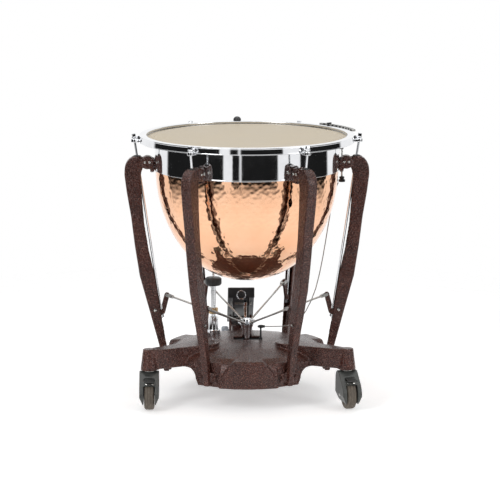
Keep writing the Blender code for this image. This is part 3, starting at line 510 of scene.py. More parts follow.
def tread_rubber():
    """Grey-brown wheel rubber, scuffed and dusty."""
    s = Shader("caster_tread", roughness=0.62)
    scuff = s.noise(85.0, 6.0, vector=s.stretched((3.0, 1.0, 1.0)))
    dust = s.noise(18.0, 5.0)
    base = s.ramp(dust, [(0.3, (0.075, 0.06, 0.046)), (0.6, (0.12, 0.098, 0.076)),
                         (0.8, (0.185, 0.155, 0.125))])
    s.color(s.mix(s.map(scuff, 0.52, 0.7, 0.0, 0.6), base, (0.24, 0.205, 0.165)))
    s.rough(s.map(scuff, 0.3, 0.7, 0.5, 0.78))
    s.bump(scuff, 0.0006, 0.35)
    return s.mat


def twisted_wire():
    """Fine stranded steel cable, with painted shade in the grooves between the strands."""
    s = Shader("stranded_cable", roughness=0.35, metallic=1.0)
    wave = s.new("ShaderNodeTexWave", bands_direction="DIAGONAL")
    wave.inputs["Scale"].default_value = 420.0
    wave.inputs["Distortion"].default_value = 0.6
    s.link(s.place, wave.inputs["Vector"])
    # Dark where the bump sinks between the strands: painted shade.
    s.color(s.ramp(wave.outputs["Fac"], [(0.2, (0.1, 0.1, 0.1)), (0.8, (0.42, 0.41, 0.4))]))
    s.bump(wave.outputs["Fac"], 0.0004, 0.6)
    return s.mat


PAINT = hammertone()
COPPER = copper()
CHROME = chrome()
STEEL = steel("turned_steel", (0.5, 0.49, 0.47), 0.26)
ZINC = steel("zinc_screw", (0.66, 0.65, 0.62), 0.2, (1.0, 1.0, 1.0))
BRASS = steel("aged_brass", (0.58, 0.4, 0.2), 0.24)
FILM = head_film()
BLACK = plastic("black_plastic", (0.012, 0.012, 0.013), (0.034, 0.034, 0.036))
RUBBER = plastic("black_rubber", (0.016, 0.016, 0.016), (0.05, 0.049, 0.047), 0.6, 420.0, 0.4)
HOOD = plastic("caster_housing", (0.04, 0.042, 0.04), (0.08, 0.083, 0.078), 0.38, 520.0, 0.3)
GREY = plastic("blue_grey_plastic", (0.4, 0.47, 0.54), (0.5, 0.57, 0.63), 0.3, 600.0, 0.15)
TREAD = tread_rubber()
CABLE = twisted_wire()


# ---- Drum: bowl, band, hoop and head ---------------------------------
BAND_LOW, BAND_HIGH = low("support_band").z, high("support_band").z
BAND_OUTER = half_width("support_band")
BOWL_LOW = low("bowl").z
BOWL_RIM = high("bowl").z
BOWL_RADIUS = BAND_OUTER - 0.003
BOWL_WALL = 0.003
SHOULDER_Z = BAND_LOW + 0.01        # the bowl is straight above this height
VENT_RADIUS = 0.012
MARK_SPACING = 0.0155
MARK_DEPTH = 0.00075


def bowl_profile_point(share):
    """A point of the outer wall: 0 at the vent, 1 at the shoulder."""
    angle = share * math.pi / 2
    fullness = 0.93
    radius = BOWL_RADIUS * math.sin(angle) ** fullness
    height = SHOULDER_Z - (SHOULDER_Z - BOWL_LOW) * math.cos(angle)
    return radius, height


def hammer_marks(steps):
    """Centres of the planishing marks, in rings that run round the bowl."""
    marks = []
    travel, last = 0.0, Vector(bowl_profile_point(0.0))
    next_ring = MARK_SPACING
    ring = 0
    for k in range(1, steps + 1):
        here = Vector(bowl_profile_point(k / steps))
        travel += (here - last).length
        last = here
        if travel < next_ring:
            continue
        next_ring += MARK_SPACING
        ring += 1
        count = max(int(2 * math.pi * here.x / MARK_SPACING), 5)
        for m in range(count):
            wander = math.sin(ring * 12.9898 + m * 78.233) * 43758.5453
            jitter = (wander - math.floor(wander) - 0.5) * 0.75
            angle = 2 * math.pi * (m + 0.5 * (ring % 2) + jitter) / count
            slip = math.sin(m * 3.7 + ring * 1.9) * MARK_SPACING * 0.24
            marks.append(Vector((here.x * math.cos(angle), here.x * math.sin(angle), here.y + slip)))
    return marks


def bowl_mesh(segments=440, rows=150):
    marks = hammer_marks(600)
    tree = kdtree.KDTree(len(marks))
    for k, mark in enumerate(marks):
        tree.insert(mark, k)
    tree.balance()
    start = 0.0
    while bowl_profile_point(start)[0] < VENT_RADIUS:
        start += 0.002
    outer = [bowl_profile_point(start + (1 - start) * k / rows) for k in range(rows + 1)]
    outer += [(BOWL_RADIUS, z) for z in (SHOULDER_Z + 0.02, BOWL_RIM - 0.0015)]
    rim = [(BOWL_RADIUS + 0.0008, BOWL_RIM), (BOWL_RADIUS - BOWL_WALL, BOWL_RIM)]
    inner = [(BOWL_RADIUS - BOWL_WALL, SHOULDER_Z)]
    for k in range(24, -1, -1):
        r, z = bowl_profile_point(start + (1 - start) * k / 25)
        inner.append((r * (1 - BOWL_WALL / BOWL_RADIUS), z + BOWL_WALL * (1 - r / BOWL_RADIUS * 0.7)))
    b = Build().turned(outer + rim + inner, segments=segments, ring=True)
    reach = MARK_SPACING * 0.62
    for vert in b.bm.verts:
        if vert.co.z > SHOULDER_Z + 0.001:
            continue
        outward = Vector((vert.co.x, vert.co.y, (vert.co.z - SHOULDER_Z) * 0.85)).normalized()
        distance = tree.find(vert.co)[2]
        fade = min(max((SHOULDER_Z - vert.co.z) / 0.004, 0.0), 1.0)
        dish = max(1.0 - (distance / reach) ** 2, -0.6)
        vert.co -= outward * MARK_DEPTH * (dish + 0.6) * 0.6 * fade
    return b.mesh()


piece("hammered_bowl", bowl_mesh(), COPPER, "frame", ["bowl"], sharp=60, place=ON_AXIS)


def band_mesh():
    inner = BAND_OUTER - 0.0026
    bead = 0.0011
    outline = [(inner, BAND_LOW), (BAND_OUTER, BAND_LOW), (BAND_OUTER, BAND_LOW + 0.003),
               (BAND_OUTER - bead * 0.5, BAND_LOW + 0.0042), (BAND_OUTER - bead * 0.5, BAND_HIGH - 0.0042),
               (BAND_OUTER, BAND_HIGH - 0.003), (BAND_OUTER, BAND_HIGH), (inner, BAND_HIGH)]
    return lathe(rounded(outline, 0.0009), segments=320, ring=True)


piece("bowl_band", band_mesh(), CHROME, "frame", ["support_band"], place=ON_AXIS)

HOOP_TOP = high("counterhoop").z
HOOP_SKIRT = HOOP_TOP - 0.022
HEAD_EDGE = half_width("drumhead")
HOOP_INNER = HEAD_EDGE + 0.0007
HOOP_WALL = 0.0065
CLAW_LOW = low("counterhoop").z
ROD_REACH = (PIVOT["tension_rod_1_turn"] - AXIS).to_2d().length
HOOP_OUTER = 0.342


def hoop_mesh():
    under, inside = HOOP_TOP - HOOP_WALL, HOOP_OUTER - HOOP_WALL
    outline = [(HOOP_INNER, under), (inside - 0.001, under), (inside, under - 0.001), (inside, HOOP_SKIRT),
               (HOOP_OUTER, HOOP_SKIRT), (HOOP_OUTER, HOOP_SKIRT + 0.0022),
               (HOOP_OUTER - 0.0006, HOOP_SKIRT + 0.003), (HOOP_OUTER - 0.0006, HOOP_TOP - 0.004),
               (HOOP_OUTER, HOOP_TOP - 0.003), (HOOP_OUTER, HOOP_TOP), (HOOP_INNER, HOOP_TOP)]
    return lathe(rounded(outline, 0.0014, 4), segments=384, ring=True)


piece("counterhoop_ring", hoop_mesh(), CHROME, "hoop", ["counterhoop"], place=ON_AXIS)


def claw_mesh():
    """A claw: a rounded tongue with a raised boss round the rod's seat and a rib to the hoop."""
    top = CLAW_LOW + 0.0115
    b = Build()
    tongue = hull([(ROD_REACH, 0, 0.0095), (HOOP_OUTER + 0.004, 0, 0.012)])
    b.prism(tongue, CLAW_LOW + 0.001, top - 0.0025)
    b.turned([(0, 0.0008), (0.0108, 0.0008), (0.0108, 0.0105), (0.0092, 0.0118), (0, 0.0118)],
             Matrix.Translation((ROD_REACH, 0, CLAW_LOW)))
    b.box((HOOP_OUTER - 0.002, -0.0095, HOOP_SKIRT - 0.002),
          (HOOP_OUTER + 0.005, 0.0095, HOOP_TOP - 0.0035))
    b.ball((HOOP_OUTER + 0.003, 0, HOOP_TOP - 0.012), (0.0062, 0.0075, 0.0072))
    return cast(b.mesh(), 0.0009, 4, 0.5)


CLAW = claw_mesh()
for i in STRUTS:
    piece(f"claw_{i}", CLAW, CHROME, "hoop", place=STRUT_FRAMES[i], sharp=50)


def head_mesh():
    """The film: flat in the middle, drawn over the bearing edge and down to the flesh hoop."""
    bearing = BOWL_RADIUS + 0.0015
    edge = low("drumhead").z + 0.0009
    profile = [(0, HEAD_TOP)] + [(bearing * k / 24, HEAD_TOP) for k in range(1, 24)]
    profile += [(bearing + out, HEAD_TOP - down) for out, down in (
        (-0.002, 0.0), (0.0, 0.0001), (0.003, 0.0006), (0.009, 0.0022), (0.016, 0.0036))]
    profile.append((HEAD_EDGE, edge))
    below = [(r, z - 0.0008) for r, z in reversed(profile)]
    return lathe(profile + below, segments=256)


piece("film_head", head_mesh(), FILM, "frame", ["drumhead"], place=ON_AXIS)


def flesh_hoop_mesh():
    lo, hi = low("flesh_hoop").z, high("flesh_hoop").z
    outer = half_width("flesh_hoop")
    outline = rounded([(outer - 0.0104, lo), (outer, lo), (outer, hi), (outer - 0.0104, hi)], 0.0035, 4)
    return lathe(outline, segments=192, ring=True)


piece("flesh_hoop_channel", flesh_hoop_mesh(), STEEL, "hoop", ["flesh_hoop"], place=ON_AXIS)


# ---- Tension rods ----------------------------------------------------
def rod_frame(i):
    return aim(PIVOT[f"tension_rod_{i}_turn"], JOINT_AXIS[f"tension_rod_{i}_turn"])


def rod_length(i):
    """From the claw down to the crank seat, along the rod."""
    seat = low(f"tension_rod_{i}").z
    return (PIVOT[f"tension_rod_{i}_turn"].z - seat) / (rod_frame(i).to_3x3() @ Vector((0, 0, 1))).z


def tension_rod_mesh():
    length = rod_length(1)
    radius = 0.0038
    tail = -length + 0.0008
    profile = [(0, tail), (radius * 0.7, tail)]
    profile += threaded(radius, tail + 0.001, -length + 0.072, 0.00125, 0.0005)
    profile += [(radius, -length + 0.073), (radius, 0.0), (0.0066, 0.0012), (0.0084, 0.0016), (0.0086, 0.003),
                (0.0084, 0.0046), (0.007, 0.0058), (0.0052, 0.0062, 0), (0.0058, 0.0064, 4),
                (0.0058, 0.0145, 4), (0.005, 0.0158, 4), (0, 0.016)]
    b = Build().turned(profile, segments=24)
    for start, height in ((tail + 0.0022, 0.0038), (tail + 0.0063, 0.0041)):
        b.turned([(radius - 0.0004, start), (0.0064, start + 0.0002, 6), (0.0064, start + height - 0.0005, 6),
                  (0.0056, start + height), (radius - 0.0004, start + height)], segments=24, ring=True)
    return b.mesh()


ROD = tension_rod_mesh()
for i in STRUTS:
    piece(f"square_head_rod_{i}", ROD, CHROME, f"rod_{i}", [f"tension_rod_{i}"],
          place=rod_frame(i), sharp=40)


# ---- Struts and cranks -----------------------------------------------
PAD_RADIUS = BAND_OUTER + 0.0003
PAD_HEIGHT = high("strut_1").z - 0.0205
STRUT_FOOT = low("strut_1").z
PAD_BOSS = 0.0215                    # radius of the round boss that joins the strut to the band
NECK_END = ROD_REACH - 0.03         # the neck between the two bosses is round up to here
NECK_BLEND = 0.014                   # and turns square over this length
BOSS_REACH = PAD_RADIUS + PAD_BOSS


def round_neck(mesh):
    """Turn the square neck between the pad and the rod boss into a round bar."""
    centre, half_side, half_up = PAD_HEIGHT, 0.017, 0.0215
    for vert in mesh.vertices:
        radius, side, rise = vert.co.x, vert.co.y, vert.co.z - centre
        if rise < -half_up or radius > NECK_END + NECK_BLEND:
            continue
        p, q = side / half_side, rise / half_up
        square, circle = max(abs(p), abs(q)), math.hypot(p, q)
        if circle < 1e-6:
            continue
        blend = min(max((NECK_END + NECK_BLEND - radius) / NECK_BLEND, 0.0), 1.0)
        scale = 1 + (0.8 * square / circle - 1) * blend
        vert.co.y = side * scale
        vert.co.z = centre + rise * scale
    return mesh


def strut_mesh():
    """The CAD strut as one casting, with a round neck and a boss across it for the screws."""
    flat = STRUT_FRAMES[1].inverted()
    body = evaluated(cad_mesh("strut_1", flat), [
        ("REMESH", {"mode": "VOXEL", "voxel_size": 0.0022, "adaptivity": 0.0})])
    b = Build().add(round_neck(body))
    boss = [(0, -0.0192), (PAD_BOSS - 0.005, -0.0192), (PAD_BOSS - 0.0012, -0.0172), (PAD_BOSS, -0.0135),
            (PAD_BOSS, 0.0135), (PAD_BOSS - 0.0012, 0.0172), (PAD_BOSS - 0.005, 0.0192), (0, 0.0192)]
    b.turned(boss, aim((BOSS_REACH, 0, PAD_HEIGHT), (0, 1, 0)), 40)
    return cast(b.mesh(), 0.0018, 5, 0.3)


STRUT = strut_mesh()
SCREW = screw(0.0042, 0.0034)
FOOT_BOLT = hex_bolt(0.005, 0.0062)
COLLAR = lathe([(0.0072, -0.002), (0.012, -0.002), (0.0125, 0.0006), (0.0112, 0.0022),
                (0.008, 0.0022), (0.007, 0.001)], segments=32, ring=True)


def rod_point(height):
    """Distance from the drum axis of the tension rods at a height."""
    top = PIVOT["tension_rod_1_turn"]
    axis = JOINT_AXIS["tension_rod_1_turn"]
    slope = math.hypot(axis[0], axis[1]) / axis[2]
    return ROD_REACH - (top.z - height) * slope


for i in STRUTS:
    piece(f"strut_casting_{i}", STRUT, PAINT, "frame", [f"strut_{i}"], place=STRUT_FRAMES[i],
          sharp=50)
    b = Build()
    for side in (-1, 1):
        for step in (-0.0076, 0.0076):
            b.add(SCREW, aim((BOSS_REACH + step, side * 0.019, PAD_HEIGHT + 0.0015), (0, side, 0)))
    piece(f"pad_screws_{i}", b.mesh(), ZINC, "frame", place=STRUT_FRAMES[i])
    collar_z = high("strut_1").z - 0.0012
    piece(f"rod_grommet_{i}", COLLAR, RUBBER, "frame",
          place=STRUT_FRAMES[i] @ Matrix.Translation((rod_point(collar_z), 0, collar_z)))
    b = Build()
    for side in (-1, 1):
        b.add(FOOT_BOLT, aim((0.2563, side * 0.0245, 0.103), (1, 0, 0)))
    piece(f"foot_bolts_{i}", b.mesh(), PAINT, "frame", place=STRUT_FRAMES[i])


CRANK = cast(cad_mesh("bell_crank_1", STRUT_FRAMES[1].inverted()), 0.00085, 4, 0.55)
PIN_HEAD = lathe([(0, -0.001), (0.004, -0.001), (0.004, 0.0008), (0.0046, 0.0009),
                  (0.0046, 0.0018), (0.0034, 0.0023), (0, 0.0024)], segments=24)
for i in STRUTS:
    piece(f"crank_casting_{i}", CRANK, PAINT, f"crank_{i}", [f"bell_crank_{i}"],
          place=STRUT_FRAMES[i], sharp=50)
    pivot = STRUT_FRAMES[i].inverted() @ PIVOT[f"crank_{i}_pivot"]
    b = Build()
    half = (high("bell_crank_2").y - low("bell_crank_2").y) / 2
    for side in (-1, 1):
        b.add(PIN_HEAD, aim(pivot + Vector((0, side * (half - 0.0006), 0)), (0, side, 0)))
    piece(f"crank_pin_ends_{i}", b.mesh(), ZINC, f"crank_{i}", place=STRUT_FRAMES[i])


# ---- Spider rods and hub ---------------------------------------------
def spider_rod_parts(i):
    """The rod's ball centre and its unit direction out to the fork, in the strut's own frame."""
    flat = STRUT_FRAMES[i].inverted()
    start = flat @ PIVOT[f"pull_rod_{i}_pivot"]
    verts = [flat @ v.co for v in frame["nodes"][f"spider_rod_{i}"].data.vertices]
    far = max((v - start).length for v in verts)
    tips = [v - start for v in verts if (v - start).length > far * 0.93]
    direction = Vector((sum(v.x for v in tips), 0, sum(v.z for v in tips))).normalized()
    return start, direction, far


def spider_rod_mesh(far):
    """A threaded stud with a lock nut and a fork with its pin; local Y runs across the fork."""
    tip = far - 0.0061
    root = tip - 0.017
    profile = [(0, -0.0036), (0.0024, -0.0034), (0.003, -0.0024), (0.003, 0.006)]
    profile += threaded(0.0031, 0.007, 0.06, 0.0022, 0.0006)
    profile += [(0.0029, 0.061), (0.0029, root - 0.062)]
    profile += threaded(0.0031, root - 0.06, root - 0.002, 0.0022, 0.0006)
    profile += [(0.0029, root + 0.001), (0, root + 0.001)]
    b = Build().turned(profile, segments=16)
    b.turned([(0.0026, root - 0.0056), (0.0052, root - 0.0054, 6), (0.0052, root - 0.0004, 6),
              (0.0026, root - 0.0002)], segments=24, ring=True)
    b.box((-0.005, -0.0077, root), (0.005, 0.0077, root + 0.0054), bevel=0.0009)
    lay = UPRIGHT @ Matrix.Rotation(math.pi, 4, "X")
    tine = hull([(0, -tip, 0.005), (0, -root - 0.0045, 0.0046)])
    for side in (-1, 1):
        b.prism(tine, side * 0.0065 - 0.0012, side * 0.0065 + 0.0012, lay)
    b.turned([(0, -0.0077), (0.0023, -0.0077), (0.0027, -0.0073), (0.0027, 0.0073), (0.0023, 0.0077),
              (0, 0.0077)], aim((0, 0, tip), (0, 1, 0)), segments=16)
    return b.mesh()


for i in STRUTS:
    start, direction, far = spider_rod_parts(i)
    across = Vector((0, 1, 0))
    turn = Matrix((across.cross(direction), across, direction)).transposed().to_4x4()
    piece(f"spider_stud_{i}", spider_rod_mesh(far), STEEL, f"pull_rod_{i}", [f"spider_rod_{i}"],
          place=STRUT_FRAMES[i] @ Matrix.Translation(start) @ turn, sharp=40)


def hub_mesh():
    """A turned column with a crown of clevis ears round its top, one pair for each spider rod."""
    centre = PIVOT["pull_rod_1_pivot"].z
    floor, foot = centre - 0.006, low("spider_hub").z
    slot_half, slot_top = 0.0063, foot + 0.036
    b = Build().turned([(0, foot + 0.037), (0.016, foot + 0.037), (0.016, floor - 0.02),
                        (0.0175, floor - 0.017),
                        (0.0175, floor - 0.012), (0.0182, floor - 0.01), (0.0212, floor - 0.0045),
                        (0.0215, floor), (0.015, floor + 0.0006), (0.0142, centre + 0.006),
                        (0.012, centre + 0.0105), (0.006, centre + 0.0122),
                        (0, centre + 0.0125)], segments=48)
    for side in (-1, 1):
        cheek = [(-0.015, foot), (0.015, foot), (0.015, slot_top + 0.004), (-0.015, slot_top + 0.004)]
        turn = Matrix.Rotation(math.pi / 2, 4, "Z") @ UPRIGHT
        b.prism(cheek, side * slot_half, side * 0.013, turn)
    reach = (PIVOT["pull_rod_1_pivot"] - AXIS).to_2d().length
    for i in STRUTS:
        turn = Matrix.Rotation(azimuth_of(PIVOT[f"pull_rod_{i}_pivot"]) - math.pi / 2, 4, "Z")
        for side in (-1, 1):
            lug = hull([(reach, centre, 0.0048), (0.015, centre - 0.001, 0.0055)])
            b.prism(lug, -0.0012, 0.0012, turn @ Matrix.Translation((0, side * 0.0056, 0)) @ UPRIGHT)
        b.turned([(0, -0.0074), (0.0022, -0.0074), (0.0026, -0.007), (0.0026, 0.007), (0.0022, 0.0074),
                  (0, 0.0074)], turn @ aim((reach, 0, centre), (0, 1, 0)), segments=12)
    return b.mesh()


piece("clevis_hub", hub_mesh(), CHROME, "hub", ["spider_hub"], place=ON_AXIS)


# ---- Base casting ----------------------------------------------------
SKIRT_RADIUS = 0.266
PANEL_TOP, PANEL_SHOULDER = 0.16, 0.1225      # heights of a front panel's top edge and of its corners
PANEL_HALF, PANEL_FOOT = 0.049, 0.082          # half widths of the panel's top edge and of its corners


def front_panel(b, azimuth):
    """The raised panel between two struts: a flat top edge whose corners fall away to the feet."""
    steps = 28
    limit = PANEL_FOOT / SKIRT_RADIUS
    rows = []
    for k in range(steps + 1):
        angle = -limit + 2 * limit * k / steps
        across = abs(angle) * SKIRT_RADIUS
        fall = min(max((across - PANEL_HALF) / (PANEL_FOOT - PANEL_HALF), 0.0), 1.0)
        top = PANEL_TOP + (PANEL_SHOULDER - PANEL_TOP) * fall
        turn = Matrix.Rotation(azimuth - math.pi / 2 + angle, 4, "Z")
        profile = [(0.205, top - 0.016), (0.221, min(top + 0.0016, 0.1615)), (0.257, top),
                   (0.264, top - 0.003), (0.2657, top - 0.008), (0.266, STRUT_FOOT + 0.004),
                   (0.252, STRUT_FOOT + 0.004)]
        rows.append([b.bm.verts.new(ON_AXIS @ turn @ Vector((r, 0, z))) for r, z in profile])
    for row, after in zip(rows, rows[1:]):
        for k in range(len(row)):
            n = (k + 1) % len(row)
            b.bm.faces.new([row[k], row[n], after[n], after[k]])
    b.bm.faces.new(rows[0][::-1])
    b.bm.faces.new(rows[-1])


def base_mesh():
    """The CAD base as one casting, with panels between the struts and lugs beside their feet."""
    b = Build().add(cad_mesh("base_casting"))
    for azimuth in (0, 120, 240):
        front_panel(b, math.radians(azimuth))
    for i in STRUTS:
        for side in (-1, 1):
            b.box((0.243, side * 0.024 - 0.0085, STRUT_FOOT + 0.01),
                  (0.253, side * 0.024 + 0.0085, STRUT_FOOT + 0.04), STRUT_FRAMES[i], bevel=0.002)
    web = [(0.038, 0.145), (0.078, 0.145), (0.076, 0.127), (0.064, 0.1225), (0.055, 0.114),
           (0.05, 0.103), (0.048, 0.092), (0.045, 0.083), (0.04, 0.0765), (0.038, 0.0765)]
    for i in STRUTS:
        if abs(STRUT_FRAMES[i].col[0].y) < 0.2:
            continue
        side = math.copysign(1, STRUT_FRAMES[i].col[1].x * STRUT_FRAMES[i].col[0].x)
        outward = STRUT_FRAMES[i] @ aim((0, 0, 0), (1, 0, 0))
        b.prism([(side * y, z) for y, z in web], 0.208, 0.25, outward)
    return cast(b.mesh(), 0.0023, 4, 0.26)


piece("base_body", base_mesh(), PAINT, "frame", ["base_casting"], sharp=50)

SOCKET_CAP = lathe([(0, 0.0012), (0.015, 0.0011), (0.0172, 0.0004), (0.018, -0.002), (0, -0.002)],
                   segments=32)
for name in CASTERS:
    pivot = PIVOT[f"caster_swivel_{name}"]
    top = high("base_casting").z if name != "rear" else high("caster_hood_rear").z + 0.0105
    piece(f"socket_plug_{name}", SOCKET_CAP, ZINC, "frame",
          place=Matrix.Translation((pivot.x, pivot.y, top - 0.0012)))


def cable_anchor_mesh():
    """The barrel that the gauge cable's sleeve ends in, on a small stud through the deck."""
    lo, hi = low("cable_stop"), high("cable_stop")
    middle = (lo + hi) / 2
    radius = (hi.y - lo.y) / 2
    height = hi.z - radius
    barrel = [(0, lo.x), (0.003, lo.x), (0.0038, lo.x + 0.001), (0.0038, lo.x + 0.004),
              (radius, lo.x + 0.0055), (radius, hi.x - 0.007), (0.0042, hi.x - 0.0055),
              (0.0042, hi.x - 0.0015), (0.0032, hi.x), (0, hi.x)]
    along = aim((middle.x, middle.y, height), (1, 0, 0))
    b = Build().turned([(r, x - middle.x) for r, x in barrel], along, 24)
    stud = [(0, lo.z), (0.0062, lo.z), (0.0062, lo.z + 0.0016), (0.0052, lo.z + 0.0018, 6),
            (0.0052, lo.z + 0.0062, 6), (0.0028, lo.z + 0.0066), (0.0028, height), (0, height)]
    post = lo.x + 0.0101
    return b.turned(stud, Matrix.Translation((post, middle.y, 0)), 24).mesh()


piece("cable_anchor", cable_anchor_mesh(), BLACK, "frame", ["cable_stop"])
KEPT_NODES = {"lever": STEEL, "lever_pin": STEEL, "pedal_axle": STEEL, "toe_pin": STEEL,
              "column_guide": BLACK, "gauge_cable": CABLE}
for node, mat in KEPT_NODES.items():
    frame["nodes"][node].data.materials.clear()
    frame["nodes"][node].data.materials.append(mat)

piece("drawbar_forging", cast(cad_mesh("pedal_link"), 0.0008, 3, 0.5), CHROME, "drawbar",
      ["pedal_link"], sharp=50)


# ---- Pedal -----------------------------------------------------------
PEDAL_LOW, PEDAL_HIGH = low("pedal"), high("pedal")
PEDAL_X = (PEDAL_LOW.x + PEDAL_HIGH.x) / 2
PEDAL_HALF = (PEDAL_HIGH.x - PEDAL_LOW.x) / 2
TOE_PIN = PIVOT["drawbar_pivot"]


def pedal_slope():
    """The footplate's top, from toe to heel, as two points on the pedal's middle plane."""
    verts = [v.co for v in frame["nodes"]["pedal"].data.vertices]
    toe = max(verts, key=lambda v: v.z)
    heel = max(verts, key=lambda v: v.y)
    return Vector((PEDAL_X, toe.y, toe.z)), Vector((PEDAL_X, heel.y, heel.z))


piece("pedal_casting", cast(cad_mesh("pedal"), 0.0014, 4, 0.35), BLACK, "pedal", ["pedal"],
      sharp=50)

TOE, HEEL = pedal_slope()
DOWN_SLOPE = (HEEL - TOE).normalized()
ACROSS = Vector((1, 0, 0))
LIFT = ACROSS.cross(DOWN_SLOPE).normalized()
if LIFT.z < 0:
    LIFT = -LIFT
PLATE = Matrix.Translation(TOE) @ Matrix((ACROSS, DOWN_SLOPE, LIFT)).transposed().to_4x4()


def tread_mesh():
    """The rubber mat of the footplate, with cross ribs."""
    length = (HEEL - TOE).length
    b = Build()
    b.box((-PEDAL_HALF + 0.004, 0.014, -0.003), (PEDAL_HALF - 0.004, length - 0.008, 0.0012), PLATE,
          bevel=0.001)
    count = 22
    for k in range(count):
        y = 0.02 + (length - 0.034) * k / (count - 1)
        b.box((-PEDAL_HALF + 0.009, y - 0.0022, 0.0006), (PEDAL_HALF - 0.009, y + 0.0022, 0.0026), PLATE,
              bevel=0.0007)
    return b.mesh()


piece("pedal_mat", tread_mesh(), RUBBER, "pedal")


def toe_dial_meshes():
    """The round stop on the toe plate: a black disc in a chromed ring, facing the drum."""
    face = aim((PEDAL_X, PEDAL_LOW.y - 0.0005, PEDAL_HIGH.z - 0.024), (0, -1, 0.0))
    outline = [(0.0128, -0.004), (0.0158, -0.004), (0.0158, 0.004), (0.0128, 0.004)]
    ring = lathe(rounded(outline, 0.001), face, 48, ring=True)
    disc = lathe([(0, -0.004), (0.0124, -0.004), (0.0124, 0.0022), (0.0112, 0.003), (0.004, 0.0036),
                  (0.0034, 0.0028), (0, 0.0026)], face, 48)
    return ring, disc


DIAL_RING, DIAL_DISC = toe_dial_meshes()
piece("toe_dial_ring", DIAL_RING, CHROME, "pedal")
piece("toe_dial_disc", DIAL_DISC, BLACK, "pedal")
PEDAL_BOLT = hex_bolt(0.0046, 0.0048)
b = Build()
for side in (-1, 1):
    b.add(PEDAL_BOLT, aim((PEDAL_X + side * 0.0288, TOE_PIN.y, TOE_PIN.z), (side, 0, 0)))
piece("toe_pin_nuts", b.mesh(), ZINC, "pedal")


# ---- Casters ---------------------------------------------------------
WHEEL_RADIUS = high("caster_wheel_rear").z / 2
WHEEL_HALF = (high("caster_wheel_rear").x - low("caster_wheel_rear").x) / 2


def caster_frame(name):
    """At the swivel on the floor, local Y towards the wheel's centre."""
    pivot, wheel = PIVOT[f"caster_swivel_{name}"], PIVOT[f"caster_roll_{name}"]
    angle = math.atan2(wheel.y - pivot.y, wheel.x - pivot.x) - math.pi / 2
    return Matrix.Translation((pivot.x, pivot.y, 0)) @ Matrix.Rotation(angle, 4, "Z")


def wheel_mesh():
    """Tyre with rounded shoulders and grooves; the recessed hub has spokes in relief."""
    r, h = WHEEL_RADIUS, WHEEL_HALF
    outline = [(0.0056, h - 0.003), (0.012, h - 0.001), (0.0135, h - 0.0045), (r * 0.6, h - 0.0055),
               (r * 0.66, h - 0.0012), (r * 0.72, h), (r - 0.0065, h), (r - 0.0024, h - 0.002),
               (r, h - 0.0065), (r, 0.0062), (r - 0.001, 0.0056), (r - 0.001, 0.0044), (r, 0.0038)]
    outline += [(x, -y) for x, y in reversed(outline)]
    b = Build().turned(outline, segments=96, ring=True)
    for k in range(6):
        turn = Matrix.Rotation(math.pi * k / 3, 4, "Z")
        for side in (-1, 1):
            b.box((0.0125, -0.002, side * (h - 0.0056) - 0.0012),
                  (r * 0.62, 0.002, side * (h - 0.004) + 0.0012), turn, bevel=0.0006)
    return b.mesh()


WHEEL = wheel_mesh()
AXLE_HALF = (high("caster_axle_rear").x - low("caster_axle_rear").x) / 2
AXLE = lathe([(0, -AXLE_HALF), (0.0036, -AXLE_HALF), (0.0046, -AXLE_HALF + 0.0008),
              (0.0049, -AXLE_HALF + 0.003), (0.0049, AXLE_HALF - 0.003), (0.0046, AXLE_HALF - 0.0008),
              (0.0036, AXLE_HALF), (0.0018, AXLE_HALF), (0.0012, AXLE_HALF - 0.0012),
              (0, AXLE_HALF - 0.0012)], segments=24)
HOOD_FRONT, HOOD_REAR = [
    cast(cad_mesh(f"caster_hood_{name}", caster_frame(name).inverted()), 0.0013, 5, 0.4)
    for name in ("front_left", "rear")]


def badge_mesh():
    """A plain pale oval cap on the nose of the hood, above the wheel."""
    oval = Matrix.Diagonal((1.0, 0.26, 1.0, 1.0))
    profile = [(0, 0.0012), (0.011, 0.001), (0.0126, 0.0002), (0.0128, -0.001), (0, -0.001)]
    return lathe(profile, oval, 40)


def brake_mesh():
    """The foot brake: a ribbed tongue."""
    b = Build().box((-0.015, 0.031, 0.0972), (0.015, 0.075, 0.1008), bevel=0.0014)
    for k in range(5):
        y = 0.056 + 0.0038 * k
        b.box((-0.0125, y - 0.0008, 0.1004), (0.0125, y + 0.0008, 0.1014), bevel=0.0003)
    return b.mesh()


BADGE, BRAKE = badge_mesh(), brake_mesh()
STEM_RING = lathe(rounded([(0.0083, 0.0), (0.019, 0.0), (0.019, 0.0022), (0.0083, 0.0022)], 0.0008),
                  segments=40, ring=True)
for name in CASTERS:
    place = caster_frame(name)
    front = name != "rear"
    hood = HOOD_FRONT if front else HOOD_REAR
    swivel, wheel = f"swivel_{name}", f"wheel_{name}"
    piece(f"caster_shell_{name}", hood, HOOD, swivel, [f"caster_hood_{name}"], place=place,
          sharp=50)
    centre = place.inverted() @ PIVOT[f"caster_roll_{name}"]
    across = place @ Matrix.Translation(centre) @ Matrix.Rotation(math.pi / 2, 4, "Y")
    piece(f"caster_tyre_{name}", WHEEL, TREAD, wheel, [f"caster_wheel_{name}"], place=across,
          sharp=40)
    piece(f"caster_bolt_{name}", AXLE, ZINC, swivel, [f"caster_axle_{name}"], place=across)
    piece(f"stem_ring_{name}", STEM_RING, ZINC, swivel,
          place=place @ Matrix.Translation((0, 0, PIVOT[f"caster_swivel_{name}"].z - 0.0002)))
    if front:
        nose = place @ aim((0, 0.0512, 0.0868), (0, 0.85, 0.52))
        piece(f"hood_badge_{name}", BADGE, ZINC, swivel, place=nose)
        piece(f"brake_tongue_{name}", BRAKE, RUBBER, f"brake_{name}", [f"caster_brake_{name}"],
              place=place)


